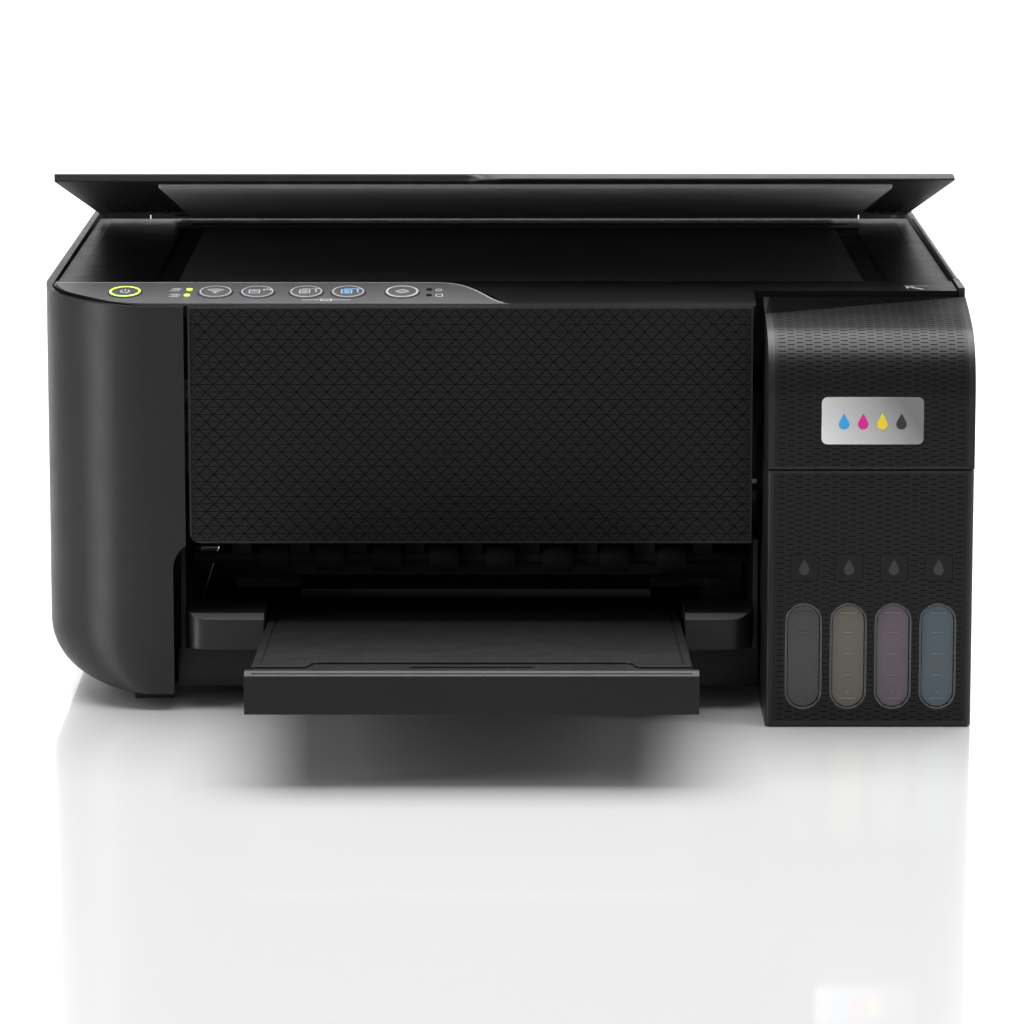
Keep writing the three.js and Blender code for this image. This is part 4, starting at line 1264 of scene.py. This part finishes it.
def side_grips():
    """Four low ridges on each side, where fingers lift the printer."""
    for name, side in (("left_grip", LEFT), ("right_grip", RIGHT)):
        outward = -1 if side < 0 else 1
        x = sorted((side - outward * 0.3, side + outward * 0.55))
        y = (behind(150), behind(230))
        ridges = [block("g", x, y, (z, z + 2)) for z in range(118, 142, 6)]
        show(soften(join(name, ridges), 0.4, 3), "base", CASING, "casing")


def paper_support_details():
    """Raised guide ribs on the paper support, and ridges on the feeder guard."""
    x, y, z = (span("paper_support", axis) for axis in (X, Y, Z))
    face = (y[0] - 0.25, y[0] + 0.1)
    ribs = [block("r", (cx - 1, cx + 1), face, (z[0] + 4, z[1] - 8)) for cx in (-80, -46, -12, 22, 56)]
    ribs.append(block("t", (x[0] + 60, x[1] - 60), (y[0] - 0.3, y[0] + 0.1), (z[1] - 6, z[1] - 2)))
    show(soften(join("paper_support_ribs", ribs), 0.15, 2), "paper_support", CASING, "casing")
    x, y, z = (span("feeder_guard", axis) for axis in (X, Y, Z))
    start = sum(x) / 2 - 20
    ridges = [
        block("g", (start + 5 * i, start + 5 * i + 2), (y[0] + 2, y[1] - 2), (z[1] - 0.1, z[1] + 0.35))
        for i in range(9)
    ]
    show(soften(join("feeder_guard_ridges", ridges), 0.15, 2), "guard", CASING, "casing")


# ---------------------------------------------------------------- print mechanism
BELT_TEETH, TOOTH_PITCH, FIRST_TOOTH = 105, 3, -156
STAR_WHEELS, STAR_POINTS = 8, 18
CHIPS = ((20, 30, 18), (60, 26, 12), (60, 50, 10), (94, 40, 14))


def belt_teeth():
    """Teeth along the inside of the timing belt's two straight runs."""
    y, z = span("timing_belt", Y), span("timing_belt", Z)
    y = (y[0] + 0.2, y[1] - 0.2)
    low, high = z[0] + 1.2, z[1] - 1.2
    teeth = []
    for i in range(BELT_TEETH):
        x = FIRST_TOOTH + TOOTH_PITCH * i
        for run in ((low - 0.1, low + 0.5), (high - 0.5, high + 0.1)):
            teeth.append(block("t", (x, x + 1.3), y, run))
    show(join("belt_teeth", teeth), "base", RUBBER, "rubber")


def star_wheels():
    """Thin toothed wheels in the posts over the output roller."""
    wheels = []
    for i in range(STAR_WHEELS):
        x = -96 + 166 * i / (STAR_WHEELS - 1)
        points = []
        for k in range(2 * STAR_POINTS):
            r = 3.4 if k % 2 else 2.7
            a = pi * k / STAR_POINTS
            points.append((behind(92) + r * cos(a), 61.2 + r * sin(a)))
        wheels.append(prism("w", points, "X", x - 0.35, x + 0.35))
    show(join("star_wheels", wheels), "base", STEEL, "inner_plastic")


def board_parts():
    """Chips, capacitors and connectors on the main board."""
    x = span("main_board", X)[1]
    y, z = span("main_board", Y)[0], span("main_board", Z)[0]
    sunk = x - 0.05
    chips = [
        block("c", (sunk, x + 1.6), (y + dy, y + dy + size), (z + dz, z + dz + size))
        for dy, dz, size in CHIPS
    ]
    show(soften(join("board_chips", chips), 0.2, 2), "base", INNER, "board")
    cans = [prism("k", ellipse(y + 12 + 9 * i, z + 14, 3.2, steps=20), "X", sunk, x + 7) for i in range(5)]
    show(soften(join("board_capacitors", cans), 0.4, 2), "base", CAN, "metal_can")
    plugs = [block("p", (sunk, x + 5), (y + 10 + 22 * i, y + 24 + 22 * i), (z + 68, z + 74)) for i in range(5)]
    show(soften(join("board_connectors", plugs), 0.2, 2), "base", NYLON, "board")


def roller_ribs():
    """Fine grooves round the pickup tyre, drawn as slightly raised bands."""
    _, y, z = middle_of("pickup_roller")
    tyre = ellipse(y, z, 10.15, steps=40)
    bands = [prism("b", tyre, "X", -39 + 3 * i, -37.6 + 3 * i) for i in range(18)]
    show(soften(join("pickup_tyre_bands", bands), 0.08, 1), "pickup", RUBBER, "rubber")


# ---------------------------------------------------------------- carried-over CAD nodes
def keep_node(name, finish, edge):
    """A CAD node whose shape is right: it gets round edges and its material."""
    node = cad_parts[name]
    node.data.materials.clear()
    node.data.materials.append(finish)
    weld = node.modifiers.new("weld", "WELD")
    weld.merge_threshold = 0.00002
    flats = node.modifiers.new("whole flats", "DECIMATE")
    flats.decimate_type = "DISSOLVE"
    flats.angle_limit = radians(0.5)
    soften(node, edge, 2)


KEPT = (
    (CASING, 0.8, "right_cover"),
    (CASING, 0.6, "rear_cover"),
    (CASING, 0.5, "paper_support", "feeder_guard", "edge_guide_left", "edge_guide_right"),
    (INNER, 1.0, "carriage"),
    (INNER, 0.6, "scanner_tub", "scan_head"),
    (INNER, 0.5, "base_plate", "star_wheel_frame", "mains_inlet"),
    (INNER, 0.4, "tank_cap_black", "platen"),
    (INNER, 0.3, "paper_hopper", "idler_pulley"),
    (INNER, 0.2, "scanner_hinge_rod", "lid_hinge_rod"),
    (BADGE_INKS["yellow"], 0.4, "tank_cap_yellow"),
    (BADGE_INKS["magenta"], 0.4, "tank_cap_magenta"),
    (BADGE_INKS["cyan"], 0.4, "tank_cap_cyan"),
    (RUBBER, 0.6, "foot_left", "foot_right"),
    (RUBBER, 0.5, "pickup_roller"),
    (RUBBER, 0.4, "output_roller"),
    (RUBBER, 0.2, "timing_belt"),
    (STEEL, 0.4, "print_head"),
    (STEEL, 0.3, "feed_roller", "carriage_rail"),
    (STEEL, 0.2, "scan_rail"),
    (CAN, 0.8, "power_supply"),
    (CAN, 0.5, "carriage_motor"),
    (CAN, 0.4, "feed_motor"),
    (CAN, 0.3, "usb_socket"),
    (NYLON, 0.4, "feed_gear"),
    (NYLON, 0.1, "encoder_strip"),
    (FELT, 1.0, "waste_ink_pad"),
    (BOARD, 0.2, "main_board"),
)


# ---------------------------------------------------------------- studio
def plain_surface(name, colour, roughness, specular):
    finish, nodes, links, shader, place = node_material(name)
    tint = noise(nodes, links, place, 400, 2)
    links.new(ramp(nodes, links, tint, tuple(c * 0.985 for c in colour), colour), shader.inputs["Base Color"])
    shader.inputs["Roughness"].default_value = roughness
    shader.inputs["Specular IOR Level"].default_value = specular
    return finish


def sweep():
    """A pale floor that curves up into a backdrop far behind. It glows there, so that it stays pale."""
    front, flat_end, curve, top, half_width = -3500, 5000, 900, 3500, 6000
    path = [(front, 0), (flat_end, 0)]
    path += arc(flat_end, curve, curve, curve, -90, 0, 16) + [(flat_end + curve, top)]
    verts = [(x, y, z) for y, z in path for x in (-half_width, half_width)]
    faces = [(2 * i, 2 * i + 1, 2 * i + 3, 2 * i + 2) for i in range(len(path) - 1)]
    floor = object_from("studio_floor", verts, faces)
    smooth(floor)
    finish = plain_surface("studio_floor", (0.72, 0.72, 0.72), 0.2, 0.5)
    nodes, links = finish.node_tree.nodes, finish.node_tree.links
    shader = nodes["Principled BSDF"]
    shader.inputs["Coat Weight"].default_value = 1.0
    shader.inputs["Coat IOR"].default_value = 2.0
    shader.inputs["Coat Roughness"].default_value = 0.05
    shader.inputs["Emission Color"].default_value = (1, 1, 1, 1)
    split = nodes.new("ShaderNodeSeparateXYZ")
    links.new(nodes.new("ShaderNodeNewGeometry").outputs["Position"], split.inputs[0])
    far = nodes.new("ShaderNodeMapRange")
    links.new(split.outputs["Y"], far.inputs["Value"])
    for socket, value in (("From Min", 1.3), ("From Max", 2.6), ("To Min", 0.0), ("To Max", 0.95)):
        far.inputs[socket].default_value = value
    links.new(far.outputs["Result"], shader.inputs["Emission Strength"])
    floor.data.materials.append(finish)


def area_light(name, place, target, size, power):
    data = bpy.data.lights.new(name, "AREA")
    data.shape = "RECTANGLE"
    data.size, data.size_y = (s * MM for s in size)
    data.energy = power
    lamp = bpy.data.objects.new(name, data)
    lamp.location = Vector(place) * MM
    lamp.rotation_euler = (Vector(target) - Vector(place)).to_track_quat("-Z", "Y").to_euler()
    bpy.context.scene.collection.objects.link(lamp)


def studio():
    scene = bpy.context.scene
    scene.view_settings.view_transform = "Standard"
    world = bpy.data.worlds.new("studio")
    scene.world = world
    world.use_nodes = True
    world.node_tree.nodes["Background"].inputs["Color"].default_value = (1, 1, 1, 1)
    world.node_tree.nodes["Background"].inputs["Strength"].default_value = 0.3
    sweep()
    area_light("top_softbox", (0, 150, 1500), (0, 100, 100), (1900, 1500), 62)
    area_light("left_strip", (-1300, -700, 500), (-100, 0, 100), (250, 1100), 10)
    area_light("right_strip", (1300, -500, 600), (150, 0, 100), (250, 1100), 5)
    area_light("back_wash", (0, 1200, 1500), (0, 2400, 600), (3000, 600), 75)


LENS = 175.1
CAMERA_TIP = 10.155
CAMERA_DISTANCE = 1953.4
CAMERA_HEIGHT = 437.6


def camera():
    """The photograph's view: a long lens, level across, tipped down a little from in front."""
    data = bpy.data.cameras.new("camera")
    data.lens = LENS
    data.sensor_width = 36.0
    data.shift_x = 0.0059
    data.clip_end = 50
    eye = bpy.data.objects.new("camera", data)
    eye.location = Vector((1.0, TANK_FRONT - CAMERA_DISTANCE, CAMERA_HEIGHT)) * MM
    eye.rotation_euler = (radians(90 - CAMERA_TIP), 0, 0)
    bpy.context.scene.collection.objects.link(eye)
    bpy.context.scene.camera = eye


camera()
studio()
left_casing()
front_panel()
tank_front()
ink_windows()
tank_cover()
scanner_deck()
control_panel()
lid_shell()
output_blocks()
output_tray()
tray_extension()
rear_details()
side_grips()
paper_support_details()
belt_teeth()
star_wheels()
board_parts()
roller_ribs()
for finish, edge, *names in KEPT:
    for name in names:
        keep_node(name, finish, edge)
